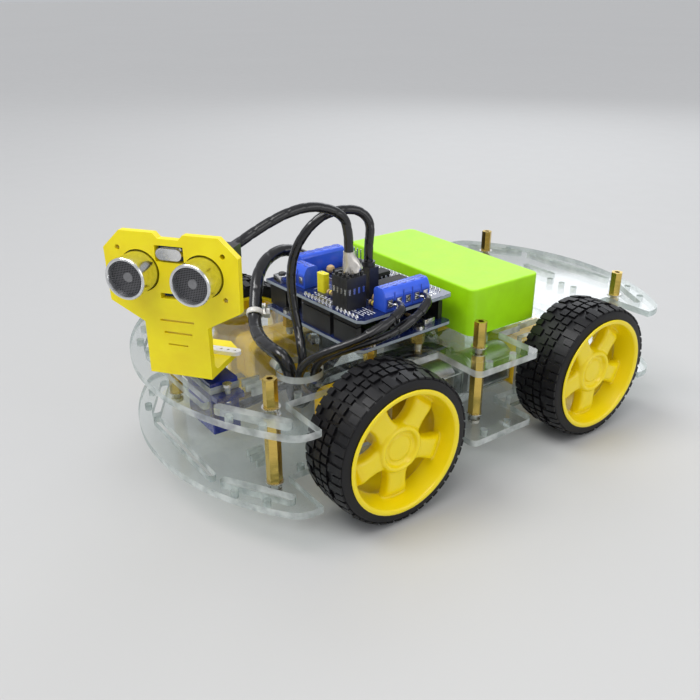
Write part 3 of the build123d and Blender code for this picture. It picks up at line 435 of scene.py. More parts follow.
def bevel(bm, verts, width):
    edges = [e for e in bm.edges if e.verts[0] in verts and e.verts[1] in verts]
    bmesh.ops.bevel(bm, geom=edges, offset=width, segments=2, profile=0.6, affect="EDGES")


def block(bm, centre, size, turn=Matrix.Identity(4), slot=0, soften=0.0):
    before = set(bm.faces)
    grow = Matrix.Diagonal((size[0], size[1], size[2], 1))
    made = bmesh.ops.create_cube(bm, size=1.0, matrix=turn @ Matrix.Translation(centre) @ grow)
    if soften:
        bevel(bm, set(made["verts"]), soften)
    paint(bm, before, slot)


def rod(bm, start, stop, radius, slot=0, sides=16, tip=None):
    before = set(bm.faces)
    start, stop = Vector(start), Vector(stop)
    along = stop - start
    turn = along.to_track_quat("Z", "Y").to_matrix().to_4x4()
    place = Matrix.Translation((start + stop) / 2) @ turn
    bmesh.ops.create_cone(bm, cap_ends=True, segments=sides, radius1=radius,
                          radius2=radius if tip is None else tip, depth=along.length, matrix=place)
    paint(bm, before, slot)


def lathe(bm, profile, place, sides=64, slot=0, closed=True):
    """Turns (radius, height) pairs round the local Z of place."""
    rings = []
    for radius, height in profile:
        ring = []
        if radius < 1e-6:
            ring = [bm.verts.new(place @ Vector((0, 0, height)))] * sides
        else:
            for i in range(sides):
                a = 2 * pi * i / sides
                ring.append(bm.verts.new(place @ Vector((radius * cos(a), radius * sin(a), height))))
        rings.append(ring)
    pairs = list(zip(rings, rings[1:]))
    if closed:
        pairs.append((rings[-1], rings[0]))
    for first, second in pairs:
        for i in range(sides):
            j = (i + 1) % sides
            corners = [first[i], first[j], second[j], second[i]]
            unique = []
            for v in corners:
                if v not in unique:
                    unique.append(v)
            if len(unique) > 2:
                bm.faces.new(unique).material_index = slot


def prism(bm, outline, place, depth, slot=0, soften=0.0):
    """A flat outline raised along the local Z of place."""
    before = set(bm.faces)
    low = [bm.verts.new(place @ Vector((x, y, 0))) for x, y in outline]
    high = [bm.verts.new(place @ Vector((x, y, depth))) for x, y in outline]
    bridge(bm, [low, high])
    if soften:
        bevel(bm, set(low + high), soften)
    paint(bm, before, slot)


# ---------------------------------------------------------------- cords

def spline_line(points, step):
    """Evenly spaced points of a second-degree spline through the route's control points, in metres."""
    curve = bpy.data.curves.new("line", "CURVE")
    curve.dimensions = "3D"
    spline = curve.splines.new("NURBS")
    spline.points.add(len(points) - 1)
    for point, place in zip(spline.points, points):
        point.co = (*spot(*place), 1)
    spline.order_u = 3
    spline.use_endpoint_u = True
    spline.resolution_u = 24
    holder = new_object("line", curve)
    mesh = bpy.data.meshes.new_from_object(holder)
    raw = [v.co.copy() for v in mesh.vertices]
    bpy.data.objects.remove(holder)
    bpy.data.meshes.remove(mesh)
    bpy.data.curves.remove(curve)
    lengths = [0.0]
    for a, b in zip(raw, raw[1:]):
        lengths.append(lengths[-1] + (b - a).length)
    count = max(8, ceil(lengths[-1] / step))
    line = []
    k = 0
    for i in range(count + 1):
        want = lengths[-1] * i / count
        while k < len(lengths) - 2 and lengths[k + 1] < want:
            k += 1
        span = max(lengths[k + 1] - lengths[k], 1e-9)
        line.append(raw[k].lerp(raw[k + 1], min(1.0, max(0.0, (want - lengths[k]) / span))))
    return line, lengths[-1]


def wrapped_cord(name, points, diameter, pitch, body, tip=0.0):
    """A cord in a spiral wrap: its wall dips in the helical gap between turns, and narrows over its tip.

    groove is the depth of the dip as a share of the radius, and gap its width as a share of the pitch."""
    sides, groove, gap = 28, 0.07, 0.16
    line, length = spline_line(points, 0.00038)
    bm = bmesh.new()
    normal = (line[1] - line[0]).orthogonal().normalized()
    rings = []
    radius = diameter / 2
    for i, here in enumerate(line):
        ahead = line[min(i + 1, len(line) - 1)] - line[max(i - 1, 0)]
        ahead.normalize()
        normal = (normal - ahead * normal.dot(ahead)).normalized()
        side = ahead.cross(normal)
        along = length * i / (len(line) - 1)
        ring = []
        for k in range(sides):
            a = 2 * pi * k / sides
            phase = (along / pitch + k / sides) % 1.0
            edge = min(phase, 1 - gap - phase) if phase < 1 - gap else -min(phase - (1 - gap), 1 - phase)
            lift = min(1.0, max(0.0, 0.5 + edge / gap))
            r = radius * (1 - groove + groove * lift)
            if along < tip:
                r *= 0.5 + 0.5 * along / tip
            ring.append(bm.verts.new(here + (normal * cos(a) + side * sin(a)) * r))
        rings.append(ring)
    bridge(bm, rings)
    obj = finish_mesh(name, bm, [SHEATH], body, to_frame=False, angle=80)
    return obj, line, length


SENSOR_CABLE = [(19.95, -101.13, 108.8), (15.7, -95.53, 108.8), (15.4, -84.4, 113.6), (16.5, -72.7, 117.9),
                (18.0, -60.9, 119.0), (19.9, -49.3, 114.0), (20.4, -47.0, 106.0), (20.4, -47.0, 98.2)]
SERVO_CABLE = [(16.0, -33.5, 90.2), (16.0, -33.5, 98.0), (14.9, -31.4, 106.2), (13.0, -35.4, 112.0),
               (10.8, -43.5, 113.4), (8.0, -53.7, 111.0), (5.0, -62.7, 100.4), (4.0, -65.9, 87.6),
               (6.0, -66.1, 74.4), (10.5, -66.6, 64.2), (17.6, -69.6, 58.6), (19.8, -70.6, 50.0),
               (15.5, -74.0, 43.8), (10.0, -82.0, 39.0), (9.6, -91.6, 36.7), (9.6, -100.9, 36.7)]
BUNDLE = [(-31.354, -30.985, 77.6), (-39.818, -31.503, 77.6), (-44.8, -38.0, 81.5), (-42.0, -50.0, 80.5),
          (-34.0, -61.0, 75.5), (-24.0, -68.0, 66.5), (-16.6, -73.2, 59.4), (-6.0, -77.0, 57.8),
          (6.5, -79.4, 58.0), (18.6, -79.0, 58.2), (21.6, -77.2, 49.0), (20.4, -76.0, 38.5),
          (14.5, -69.0, 31.5), (5.5, -59.0, 29.0), (-4.5, -47.5, 29.5), (-12.0, -35.0, 32.5),
          (-17.5, -23.5, 36.6), (-22.95, -14.6, 40.4), (-22.95, -7.0, 40.4)]
LEAD_FRONT = [(35.825, -34.49, 77.6), (41.594, -34.137, 77.6), (44.8, -41.5, 75.2), (44.2, -52.0, 71.2),
              (41.5, -62.0, 67.8), (35.0, -71.0, 63.6), (29.2, -77.0, 57.8), (27.5, -78.0, 49.5),
              (25.0, -73.0, 42.5), (20.5, -61.5, 38.0), (16.5, -48.0, 36.5), (15.0, -33.0, 36.5),
              (15.2, -19.0, 38.5), (16.6, -10.4, 39.9), (20.6, -5.9, 40.4), (26.5, -5.9, 40.4)]
LEAD_REAR = [(34.897, -19.319, 77.6), (40.467, -18.978, 77.6), (43.2, -25.5, 73.8), (43.6, -35.0, 69.8),
             (43.0, -45.0, 67.0), (41.0, -55.0, 65.4), (36.8, -63.5, 62.8), (30.6, -69.6, 58.6),
             (28.6, -71.4, 50.6), (22.5, -65.4, 45.4), (14.0, -55.0, 41.4), (8.5, -42.0, 38.6),
             (7.0, -27.0, 37.2), (8.0, -12.0, 37.6), (12.0, 1.5, 39.6), (18.8, 5.9, 40.4), (26.5, 5.9, 40.4)]

lead_lines = []
for cord_name, route, diameter, tip, body in (
    ("sensor_cable", SENSOR_CABLE, 0.004, 0.0, None),
    ("servo_cable", SERVO_CABLE, 0.004, 0.0, "chassis"),
    ("lead_bundle", BUNDLE, 0.006, 0.0, "chassis"),
    ("front_motor_lead", LEAD_FRONT, 0.0034, 0.0045, "chassis"),
    ("rear_motor_lead", LEAD_REAR, 0.0034, 0.0045, "chassis"),
):
    cable, line, length = wrapped_cord(cord_name + "_wrap", route, diameter, diameter * 1.9, body, tip)
    if tip:
        lead_lines.append(line)
    if body is None:
        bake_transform(cable)
    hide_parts(cord_name)


def lead_sleeves():
    """Two short shrunk tubes on each near lead, each with a narrow end toward the terminals."""
    bm = bmesh.new()
    sides = 24
    for line in lead_lines:
        step = (line[1] - line[0]).length * 1000
        for start, stop, radius in ((3.6, 13.6, 2.02), (15.2, 27.0, 2.12)):
            normal = Vector((0, 0, 1))
            rings = []
            for i in range(int(start / step), int(stop / step) + 1):
                along = i * step - start
                left = stop - i * step
                ahead = (line[i + 1] - line[i - 1]).normalized()
                normal = (normal - ahead * normal.dot(ahead)).normalized()
                side = ahead.cross(normal)
                r = radius * min(1.0, 0.66 + 0.34 * along / 3.2) - 0.12 * max(0.0, 1 - left / 0.5)
                ring = []
                for k in range(sides):
                    a = 2 * pi * k / sides
                    crease = r * (1 + 0.035 * sin(3 * a + along * 0.55)) * 0.001
                    ring.append(bm.verts.new(line[i] + (normal * cos(a) + side * sin(a)) * crease))
                rings.append(ring)
            bridge(bm, rings)
    finish_mesh("lead_sleeves", bm, [SHEATH], "chassis", to_frame=False, angle=50)


lead_sleeves()


# ---------------------------------------------------------------- wheels

WHEEL_R = 32.5
WHEEL_Y = 58.5
TYRE_WIDE = 24.6
INNER_X = 50.4
SPOKE_TURN = -20.0


def wheel_place(side, end):
    """Local Z points out of the car from the tyre's inner face; local X is to the back on the left side."""
    origin = Vector((side * INNER_X, end * WHEEL_Y, WHEEL_R))
    turn = Matrix(((0, 0, side, 0), (side, 0, 0, 0), (0, 1, 0, 0), (0, 0, 0, 1)))
    return Matrix.Translation(origin) @ turn


def tread_block(bm, a0, a1, h0, h1):
    """A raised block between two angles and two heights; its foot is sunk into the tyre."""
    low, top0, top1 = 30.8, crown(h0), crown(h1)
    steps = 3
    grid = []
    for i in range(steps + 1):
        a = a0 + (a1 - a0) * i / steps
        row = []
        for radius, height in ((low, h0), (top0, h0), (top1, h1), (low, h1)):
            row.append(bm.verts.new((radius * cos(a), radius * sin(a), height)))
        grid.append(row)
    bridge(bm, grid)


def crown(height):
    """Tread radius across the width, lower at the shoulders."""
    half = TYRE_WIDE / 2
    off = abs(height - half) / half
    return 32.46 - 1.25 * max(0.0, off - 0.55) ** 2 / 0.2025


def tyre_mesh():
    """A plain carcass with four rows of blocks; every second block of the two edge rows is short."""
    bm = bmesh.new()
    side = [(26.24, 0.1), (27.4, 0.05), (28.4, 0.35), (29.6, 0.3), (30.5, 0.7), (31.0, 1.6), (31.2, 2.6)]
    back = [(r, TYRE_WIDE - h) for r, h in reversed(side)]
    lathe(bm, side + [(31.3, 8.0), (31.3, 16.6)] + back, Matrix.Identity(4), 144)
    count = 24
    pitch = 2 * pi / count
    groove = 0.044
    for low, high, shift, short in ((0.7, 7.2, 0.0, (0.7, 4.6)), (8.4, 11.8, 0.35, None),
                                    (12.8, 16.2, 0.85, None), (17.4, 23.9, 0.5, (20.0, 23.9))):
        for i in range(count):
            start = (i + shift) * pitch
            stop = start + pitch - groove
            if short:
                tread_block(bm, start, start + pitch * 0.5 - groove / 2, low, high)
                tread_block(bm, start + pitch * 0.5, stop, *short)
            else:
                tread_block(bm, start, start + pitch * 0.42, low, high)
                tread_block(bm, start + pitch * 0.54, stop, low, high)
    return finish_mesh("tyre_shape", bm, [RUBBER], None, to_frame=False, angle=28)


def rim_mesh():
    """Barrel, lip, conical wall, ringed hub and five flowing spokes, melted together as one moulding."""
    bm = bmesh.new()
    wall = [(26.1, 0.1), (26.1, 24.6), (26.95, 24.75), (27.0, 25.25), (26.5, 25.45), (25.4, 25.4),
            (24.7, 24.9), (24.0, 22.0), (23.0, 17.2), (22.3, 14.6), (23.6, 13.6), (24.1, 10.0), (24.1, 0.1)]
    lathe(bm, wall, Matrix.Identity(4), 128)
    hub = [(0.0, 13.0), (6.0, 13.0), (9.3, 14.2), (11.2, 15.8), (11.2, 17.3), (10.7, 19.6), (9.9, 21.2),
           (8.9, 21.9), (8.0, 21.4), (7.3, 19.7), (6.8, 18.8), (6.1, 18.7), (5.7, 19.6), (5.3, 20.2),
           (0.0, 20.5)]
    lathe(bm, hub, Matrix.Identity(4), 96, closed=False)
    lathe(bm, [(5.2, -4.1), (5.2, 13.5), (2.9, 13.5), (2.9, -4.1)], Matrix.Identity(4), 48)
    # Distance from the axle, half width and outer height along each spoke.
    stations = [(5.0, 7.2, 19.4), (8.0, 6.4, 20.3), (10.5, 5.3, 20.6), (13.0, 4.8, 20.6), (16.0, 4.9, 20.6),
                (18.6, 5.4, 20.5), (20.4, 5.6, 20.0), (21.5, 5.9, 18.7), (23.7, 7.4, 17.8)]
    middle = 16.4
    sides = 20
    for k in range(5):
        angle = radians(SPOKE_TURN + 72 * k)
        out = Vector((cos(angle), sin(angle), 0))
        across = Vector((-sin(angle), cos(angle), 0))
        rings = []
        for radius, half, top in stations:
            ring = []
            for i in range(sides):
                a = 2 * pi * i / sides
                c, s = cos(a), sin(a)
                w = half * (abs(c) ** 0.5) * (1 if c > 0 else -1)
                h = (abs(s) ** 0.5) * (1 if s > 0 else -1)
                height = middle + h * (top - middle if h > 0 else 2.2)
                ring.append(bm.verts.new(out * radius + across * w + Vector((0, 0, height))))
            rings.append(ring)
        bridge(bm, rings)
    rim = finish_mesh("rim_shape", bm, [RIM_YELLOW], None, to_frame=False, angle=180)
    melt = rim.modifiers.new("melt", "REMESH")
    melt.mode = "VOXEL"
    melt.voxel_size = 0.36
    relax = rim.modifiers.new("relax", "SMOOTH")
    relax.factor = 0.5
    relax.iterations = 4
    thin = rim.modifiers.new("thin", "DECIMATE")
    thin.ratio = 0.35
    graph_now = bpy.context.evaluated_depsgraph_get()
    mesh = bpy.data.meshes.new_from_object(rim.evaluated_get(graph_now))
    mesh.shade_smooth()
    bpy.data.objects.remove(rim)
    mesh.materials.clear()
    mesh.materials.append(RIM_YELLOW)
    return mesh


def apply_wheels():
    """The same tyre and rim at all four corners."""
    pattern = tyre_mesh()
    rubber = pattern.data
    bpy.data.objects.remove(pattern)
    moulding = rim_mesh()
    for name, side, end in (("front_left", 1, -1), ("front_right", -1, -1), ("rear_left", 1, 1),
                            ("rear_right", -1, 1)):
        place = TO_FRAME @ wheel_place(side, end)
        for kind, mesh in (("tyre", rubber), ("rim", moulding)):
            obj = new_object(kind + "_" + name + "_full", mesh)
            obj.matrix_world = place
            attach(obj, "wheel_" + name)
            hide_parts(kind + "_" + name)


apply_wheels()


# ---------------------------------------------------------------- sensor head

HEAD = Matrix.Translation((2.3, -107.0, 0)) @ Matrix.Rotation(radians(HEAD_TURN), 4, "Z")
SENSOR_FACE = -16.2


def sensor_eyes():
    """Two metal cans with gauze and a small cone inside."""
    bm = bmesh.new()
    for w in (-13.0, 13.0):
        face = HEAD @ Matrix.Translation((w, SENSOR_FACE, 101.9)) @ Matrix.Rotation(radians(90), 4, "X")
        can = [(0.0, 0.02), (7.95, 0.02), (7.95, 0.7), (7.75, 0.9), (7.75, 12.2), (7.95, 12.4), (7.95, 13.0),
               (7.7, 13.34), (7.2, 13.38), (6.9, 13.2), (6.6, 12.5), (6.45, 10.4), (0.0, 10.3)]
        lathe(bm, can, face, 72, 0, closed=False)
        lathe(bm, [(6.6, 10.6), (0.0, 10.9)], face, 72, 1, closed=False)
        lathe(bm, [(2.0, 10.7), (1.7, 11.15), (0.0, 11.3)], face, 36, 2, closed=False)
    obj = finish_mesh("sensor_eyes_full", bm, [EYE_METAL, GAUZE, EYE_CONE], "head")
    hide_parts("sensor_eyes")


def sensor_extras():
    """Chips and passives on the back of the sensor board, and pins of its connector and its eyes."""
    bm = bmesh.new()
    back = SENSOR_FACE + 0.02 + BOARD_THICK
    parts = [(-13.0, 101.0, 10.0, 4.2, 0), (2.0, 98.0, 9.0, 4.0, 0), (-2.0, 106.5, 2.4, 1.4, 1),
             (-6.5, 107.6, 2.0, 1.2, 1), (8.0, 104.8, 1.2, 2.0, 1), (11.5, 98.0, 2.2, 1.2, 1),
             (-19.0, 105.8, 1.4, 2.2, 1), (9.6, 109.0, 2.0, 1.2, 1), (-12.0, 94.6, 2.2, 1.2, 1)]
    for w, z, sw, sz, slot in parts:
        block(bm, (w, back + 0.6, z), (sw, 1.2, sz), HEAD, slot, 0.12)
    for i in range(4):
        w = 13.8 + i * PIN_PITCH
        block(bm, (w, back + 0.3, 104.4), (0.64, 0.6, 2.4), HEAD, 2)
    for w in (-13.0, 13.0):
        for z in (99.4, 104.4):
            rod(bm, HEAD @ Vector((w, back, z)), HEAD @ Vector((w, back + 0.8, z)), 0.8, 2, 12, 0.35)
    finish_mesh("sensor_parts", bm, [CHIP, CERAMIC, TIN], "head")


sensor_eyes()
sensor_extras()


# ---------------------------------------------------------------- boards

BOARD = Matrix.Translation((37.9, -54.0, 0)) @ Matrix.Rotation(radians(BOARD_TURN), 4, "Z")
CONTROLLER_TOP = 60.8
SHIELD_TOP = 74.0
TERMINAL_PITCH = 5.08
TERMINAL_Y = 27.2
WIRE_Z = 77.5


def terminals():
    """Two five-way and one two-way screw terminals, with wire openings, clamps and screws; their recesses are
    coloured dark as painted shade.
    """
    bm = bmesh.new()
    shape = [(-3.85, 0.0), (-3.85, 6.4), (-3.1, 8.2), (-2.2, 9.5), (-1.2, 9.95), (2.3, 9.95), (3.2, 9.5),
             (3.85, 8.4), (3.85, 0.0)]
    for x, y, count, facing in ((-4.8, TERMINAL_Y, 5, 90), (-63.8, TERMINAL_Y, 5, -90), (-50.6, 9.2, 2, 0)):
        place = BOARD @ Matrix.Translation((x, y, SHIELD_TOP)) @ Matrix.Rotation(radians(facing), 4, "Z")
        long = count * TERMINAL_PITCH
        cross = place @ Matrix.Translation((-long / 2, 0, 0)) @ Matrix.Rotation(radians(90), 4, "Z") \
            @ Matrix.Rotation(radians(90), 4, "X")
        prism(bm, shape, cross, long, 0, 0.22)
        for i in range(count):
            at = (i - (count - 1) / 2) * TERMINAL_PITCH
            # Painted shade: each wire opening is a dark blue patch and the hole in its clamp a black strip,
            # the screw wells are dark blue, each screw slot is a black strip, and dark blue strips mark the
            # gaps between the ways.
            block(bm, (at, -3.86, 3.5), (3.7, 0.3, 4.1), place, 3, 0.05)
            block(bm, (at, -3.95, 3.6), (2.5, 0.26, 2.9), place, 1, 0.05)
            block(bm, (at, -4.0, 2.7), (1.7, 0.24, 0.5), place, 2)
            top = place @ Matrix.Translation((at, 0.4, 9.55))
            well = [(2.05, 0.0), (2.05, 0.42), (1.75, 0.42), (1.7, 0.1), (0.0, 0.1)]
            lathe(bm, well, top, 28, 3, closed=False)
            lathe(bm, [(1.6, 0.0), (1.6, 0.34), (0.0, 0.4)], top, 24, 1, closed=False)
            block(bm, (at, 0.4, 9.9), (2.6, 0.45, 0.14), place, 2)
            if i:
                block(bm, (at - TERMINAL_PITCH / 2, -3.9, 4.4), (0.3, 0.16, 7.6), place, 3)
    obj = finish_mesh("screw_terminals_full", bm, [TERMINAL, TIN, BLACK, TERMINAL_SHADOW], "chassis")
    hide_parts("screw_terminals")


def shield_chips():
    """Three socketed 16-pin chips."""
    bm = bmesh.new()
    for x in (-21.8, -34.2, -46.6):
        block(bm, (x, 34.4, SHIELD_TOP + 2.65), (6.4, 19.3, 3.3), BOARD, 0, 0.3)
        block(bm, (x, 34.4, SHIELD_TOP + 0.9), (6.0, 20.4, 1.0), BOARD, 2, 0.15)
        notch = BOARD @ Matrix.Translation((x, 25.2, SHIELD_TOP + 4.25))
        lathe(bm, [(1.0, 0.0), (1.0, 0.08), (0.0, 0.08)], notch, 20, 2, closed=False)
        for side in (1, -1):
            for i in range(8):
                y = 34.4 + (i - 3.5) * PIN_PITCH
                block(bm, (x + side * 3.45, y, SHIELD_TOP + 2.6), (0.7, 1.2, 0.3), BOARD, 1)
                block(bm, (x + side * 3.75, y, SHIELD_TOP + 1.6), (0.28, 0.9, 2.2), BOARD, 1)
                block(bm, (x + side * 3.8, y, SHIELD_TOP + 0.3), (0.9, 0.9, 0.5), BOARD, 1, 0.1)
    obj = finish_mesh("shield_chips_full", bm, [CHIP, TIN, BLACK], "chassis")
    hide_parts("shield_chips")


# The middle of each pin row and how many pins it has.
HEADER_ROWS = [(-37.9, 50.8, 10), (-14.8, 50.8, 8), (-31.8, 2.5, 8), (-11.5, 2.5, 6)]


def shield_details():
    """Solder joints, pin rows, printed outlines and small parts of the motor shield."""
    bm = bmesh.new()
    top = SHIELD_TOP
    solder = [(0.95, 0.0), (0.85, 0.25), (0.45, 0.75), (0.36, 1.1), (0.0, 1.2)]
    for x, y, count in HEADER_ROWS:
        for i in range(count):
            at = x + (i - (count - 1) / 2) * PIN_PITCH
            place = BOARD @ Matrix.Translation((at, y, top))
            lathe(bm, solder, place, 16, 1, closed=False)
    ink = [(-21.8, 23.6, 9.6, 0.25), (-34.2, 23.6, 9.6, 0.25), (-46.6, 23.6, 9.6, 0.25),
           (-28.0, 5.4, 20.0, 0.25), (-11.5, 5.4, 14.8, 0.25), (-14.8, 47.6, 20.0, 0.25),
           (-37.9, 47.6, 25.0, 0.25), (-8.6, 11.2, 9.0, 0.25), (-30.6, 15.5, 8.0, 0.25),
           (-43.0, 13.6, 0.25, 9.0), (-11.0, 30.0, 0.25, 20.0)]
    for x, y, lx, ly in ink:
        block(bm, (x, y, top + 0.02), (lx, ly, 0.05), BOARD, 0)
    for i in range(14):
        x = -6.0 - i * PIN_PITCH
        block(bm, (x, 6.6, top + 0.02), (1.3, 0.5, 0.05), BOARD, 0)
        block(bm, (x, 46.4, top + 0.02), (1.1, 0.5, 0.05), BOARD, 0)
    for i in range(9):
        block(bm, (-4.2 - (i % 3) * 2.3, 8.0 + (i // 3) * 1.5, top + 0.02), (1.5, 0.5, 0.05), BOARD, 0)
    for i in range(6):
        for j in range(2):
            place = BOARD @ Matrix.Translation((-4.0 - i * PIN_PITCH, 43.6 + j * PIN_PITCH, top))
            lathe(bm, [(0.8, 0.0), (0.8, 0.08), (0.3, 0.1)], place, 14, 1, closed=False)
    drop = [(0.0, -1.9), (1.2, -1.6), (2.0, -0.6), (2.1, 0.2), (1.6, 1.4), (0.8, 1.9), (0.0, 2.0)]
    for x, y in ((-28.0, 22.0), (-40.6, 22.0), (-12.6, 19.6), (-55.6, 28.0), (-55.6, 38.0)):
        place = BOARD @ Matrix.Translation((x, y, top + 2.1))
        lathe(bm, drop, place, 20, 2, closed=False)
    for x, y in ((-30.8, 9.6), (-27.4, 12.6), (-9.6, 15.8)):
        a = BOARD @ Vector((x - 2.6, y, top + 1.4))
        b = BOARD @ Vector((x + 2.6, y, top + 1.4))
        rod(bm, a, b, 1.05, 2, 18)
        for shift, slot in ((-1.5, 3), (-0.6, 4), (0.4, 3)):
            c = BOARD @ Vector((x + shift, y, top + 1.4))
            d = BOARD @ Vector((x + shift + 0.4, y, top + 1.4))
            rod(bm, c, d, 1.12, slot, 18)
        for end in (-1, 1):
            e = BOARD @ Vector((x + end * 2.6, y, top + 1.4))
            f = BOARD @ Vector((x + end * 3.6, y, top + 1.4))
            g = BOARD @ Vector((x + end * 3.6, y, top))
            rod(bm, e, f, 0.28, 1, 8)
            rod(bm, f, g, 0.28, 1, 8)
    for i in range(3):
        for j in range(2):
            block(bm, (-61.0 + i * PIN_PITCH, 44.0 + j * 3.0, top + 1.3), (2.4, 2.4, 2.5), BOARD, 3, 0.2)
            place_low = BOARD @ Vector((-61.0 + i * PIN_PITCH, 44.0 + j * 3.0, top + 2.0))
            rod(bm, place_low, place_low + Vector((0, 0, 5.8)), 0.33, 1, 8)
    block(bm, (-60.4, 3.6, top + 1.8), (6.0, 6.0, 3.5), BOARD, 1, 0.3)
    knob = BOARD @ Matrix.Translation((-60.4, 3.6, top + 3.5))
    lathe(bm, [(1.75, 0.0), (1.75, 0.8), (1.5, 1.0), (0.0, 1.0)], knob, 24, 3, closed=False)
    finish_mesh("shield_parts", bm, [INK, TIN, CERAMIC, BLACK, PRINT_YELLOW], "chassis")


def board_edges():
    """Pale laminate seen on the cut edges of both boards."""
    bm = bmesh.new()
    outline = [(-68.6, 0), (-2.4, 0), (0, 2.4), (0, 52.1), (-1.2, 53.3), (-68.6, 53.3)]
    for top in (CONTROLLER_TOP, SHIELD_TOP):
        for first, second in zip(outline, outline[1:] + outline[:1]):
            a, b = Vector((*first, 0)), Vector((*second, 0))
            mid = (a + b) / 2
            angle = atan2(b.y - a.y, b.x - a.x)
            turn = BOARD @ Matrix.Translation((mid.x, mid.y, top - BOARD_THICK / 2))
            turn = turn @ Matrix.Rotation(angle, 4, "Z")
            block(bm, (0, 0, 0), ((b - a).length, 0.12, 1.3), turn, 0)
    finish_mesh("board_edges", bm, [BOARD_EDGE], "chassis")


def controller_details():
    """Parts on the controller board that show between the boards."""
    bm = bmesh.new()
    top = CONTROLLER_TOP
    for x, y, lx, ly, lz, slot in ((-54.0, 20.0, 4.0, 4.0, 1.0, 0), (-48.0, 26.0, 7.0, 7.0, 1.2, 0),
                                   (-60.0, 24.0, 6.0, 6.0, 5.4, 1), (-44.0, 40.0, 11.0, 4.4, 3.4, 1),
                                   (-10.0, 27.0, 5.0, 7.4, 2.2, 0), (-5.0, 42.0, 6.0, 6.0, 3.2, 1),
                                   (-20.0, 34.0, 3.0, 1.6, 1.0, 2), (-26.0, 30.0, 3.0, 1.6, 1.0, 2),
                                   (-32.0, 35.0, 1.6, 3.0, 1.0, 2), (-16.0, 42.0, 3.0, 1.6, 1.0, 2)):
        block(bm, (x, y, top + lz / 2), (lx, ly, lz), BOARD, slot, 0.25)
    for i in range(6):
        pin = (-12.5 + (i % 3) * 2.5, 26.0 + (i // 3) * 2.5)
        rod(bm, BOARD @ Vector((*pin, top + 2.0)), BOARD @ Vector((*pin, top + 8.0)), 0.33, 1, 8)
    for x, y, count in HEADER_ROWS:
        for i in range(count):
            at = x + (i - (count - 1) / 2) * PIN_PITCH
            tip = BOARD @ Matrix.Translation((at, y, top - BOARD_THICK))
            lathe(bm, [(0.85, 0.0), (0.7, -0.4), (0.35, -1.3), (0.0, -1.5)], tip, 12, 1, closed=False)
    finish_mesh("controller_parts", bm, [BLACK, TIN, CERAMIC], "chassis")


def lead_ends():
    """Strands from the near terminals to the wrapped leads, and wires from the far ones to the bundle."""
    bm = bmesh.new()
    for middle in (19.6, 34.8):
        for side in (-1, 1):
            y = middle + side * PIN_PITCH
            a = BOARD @ Vector((-1.6, y, WIRE_Z))
            b = BOARD @ Vector((1.0, y - side * 0.3, WIRE_Z + 0.2))
            c = BOARD @ Vector((3.3, middle + side * 0.7, WIRE_Z + 0.1))
            rod(bm, a, b, 0.45, 0, 10)
            rod(bm, b, c, 0.5, 0, 10, 0.6)
    for side in (-1, 1):
        for k in range(2):
            y = TERMINAL_Y + side * (2.6 + k * TERMINAL_PITCH)
            a = BOARD @ Vector((-67.4, y, WIRE_Z))
            b = BOARD @ Vector((-70.6, y * 0.6 + 10.9, WIRE_Z + 0.3))
            c = BOARD @ Vector((-73.4, TERMINAL_Y + side * 1.4, WIRE_Z + 0.1))
            rod(bm, a, b, 0.8, 1, 10)
            rod(bm, b, c, 0.8, 1, 10)
    finish_mesh("lead_ends", bm, [TIN, SHEATH], "chassis")


PLUGS_AT = (20.4, -47.0, 0)
PLUG_WAYS = 4
PLUG_PITCH = 2.5


def plug_details():
    """Metal windows and ribs of the stacked pin housings, and the wire stubs on top."""
    bm = bmesh.new()
    low = SHIELD_TOP
    turn = Matrix.Translation(PLUGS_AT) @ Matrix.Rotation(radians(BOARD_TURN), 4, "Z")
    for side in (-1, 1):
        for i in range(PLUG_WAYS):
            at = (i - 1.5) * PLUG_PITCH
            block(bm, (at, side * 5.12, low + 8.2), (1.0, 0.12, 2.6), turn, 0)
            block(bm, (side * 5.12, at, low + 8.2), (0.12, 1.0, 2.6), turn, 0)
            block(bm, (at + PLUG_PITCH / 2, side * 5.1, low + 7.0), (0.18, 0.08, 13.4), turn, 1)
    for i in range(PLUG_WAYS):
        for j in range(PLUG_WAYS):
            place = turn @ Vector(((i - 1.5) * PLUG_PITCH, (j - 1.5) * PLUG_PITCH, low + 14.0))
            rod(bm, place, place + Vector((0, 0, 1.4)), 0.75, 1, 12)
    finish_mesh("plug_parts", bm, [TIN, BLACK], "chassis")


def jumper_details():
    """Pin tips, side ribs and the header under the jumper."""
    bm = bmesh.new()
    turn = BOARD @ Matrix.Translation((-38.2, 10.4, SHIELD_TOP))
    for side in (-1, 1):
        rod(bm, turn @ Vector((side * 1.27, 0, 8.4)), turn @ Vector((side * 1.27, 0, 8.75)), 0.4, 0, 10)
        block(bm, (side * 2.84, 0, 4.3), (0.14, 1.6, 6.0), turn, 1, 0.05)
    block(bm, (0, 0, 0.6), (5.2, 2.6, 1.2), turn, 2, 0.1)
    finish_mesh("jumper_parts", bm, [TIN, JUMPER, BLACK], "chassis")


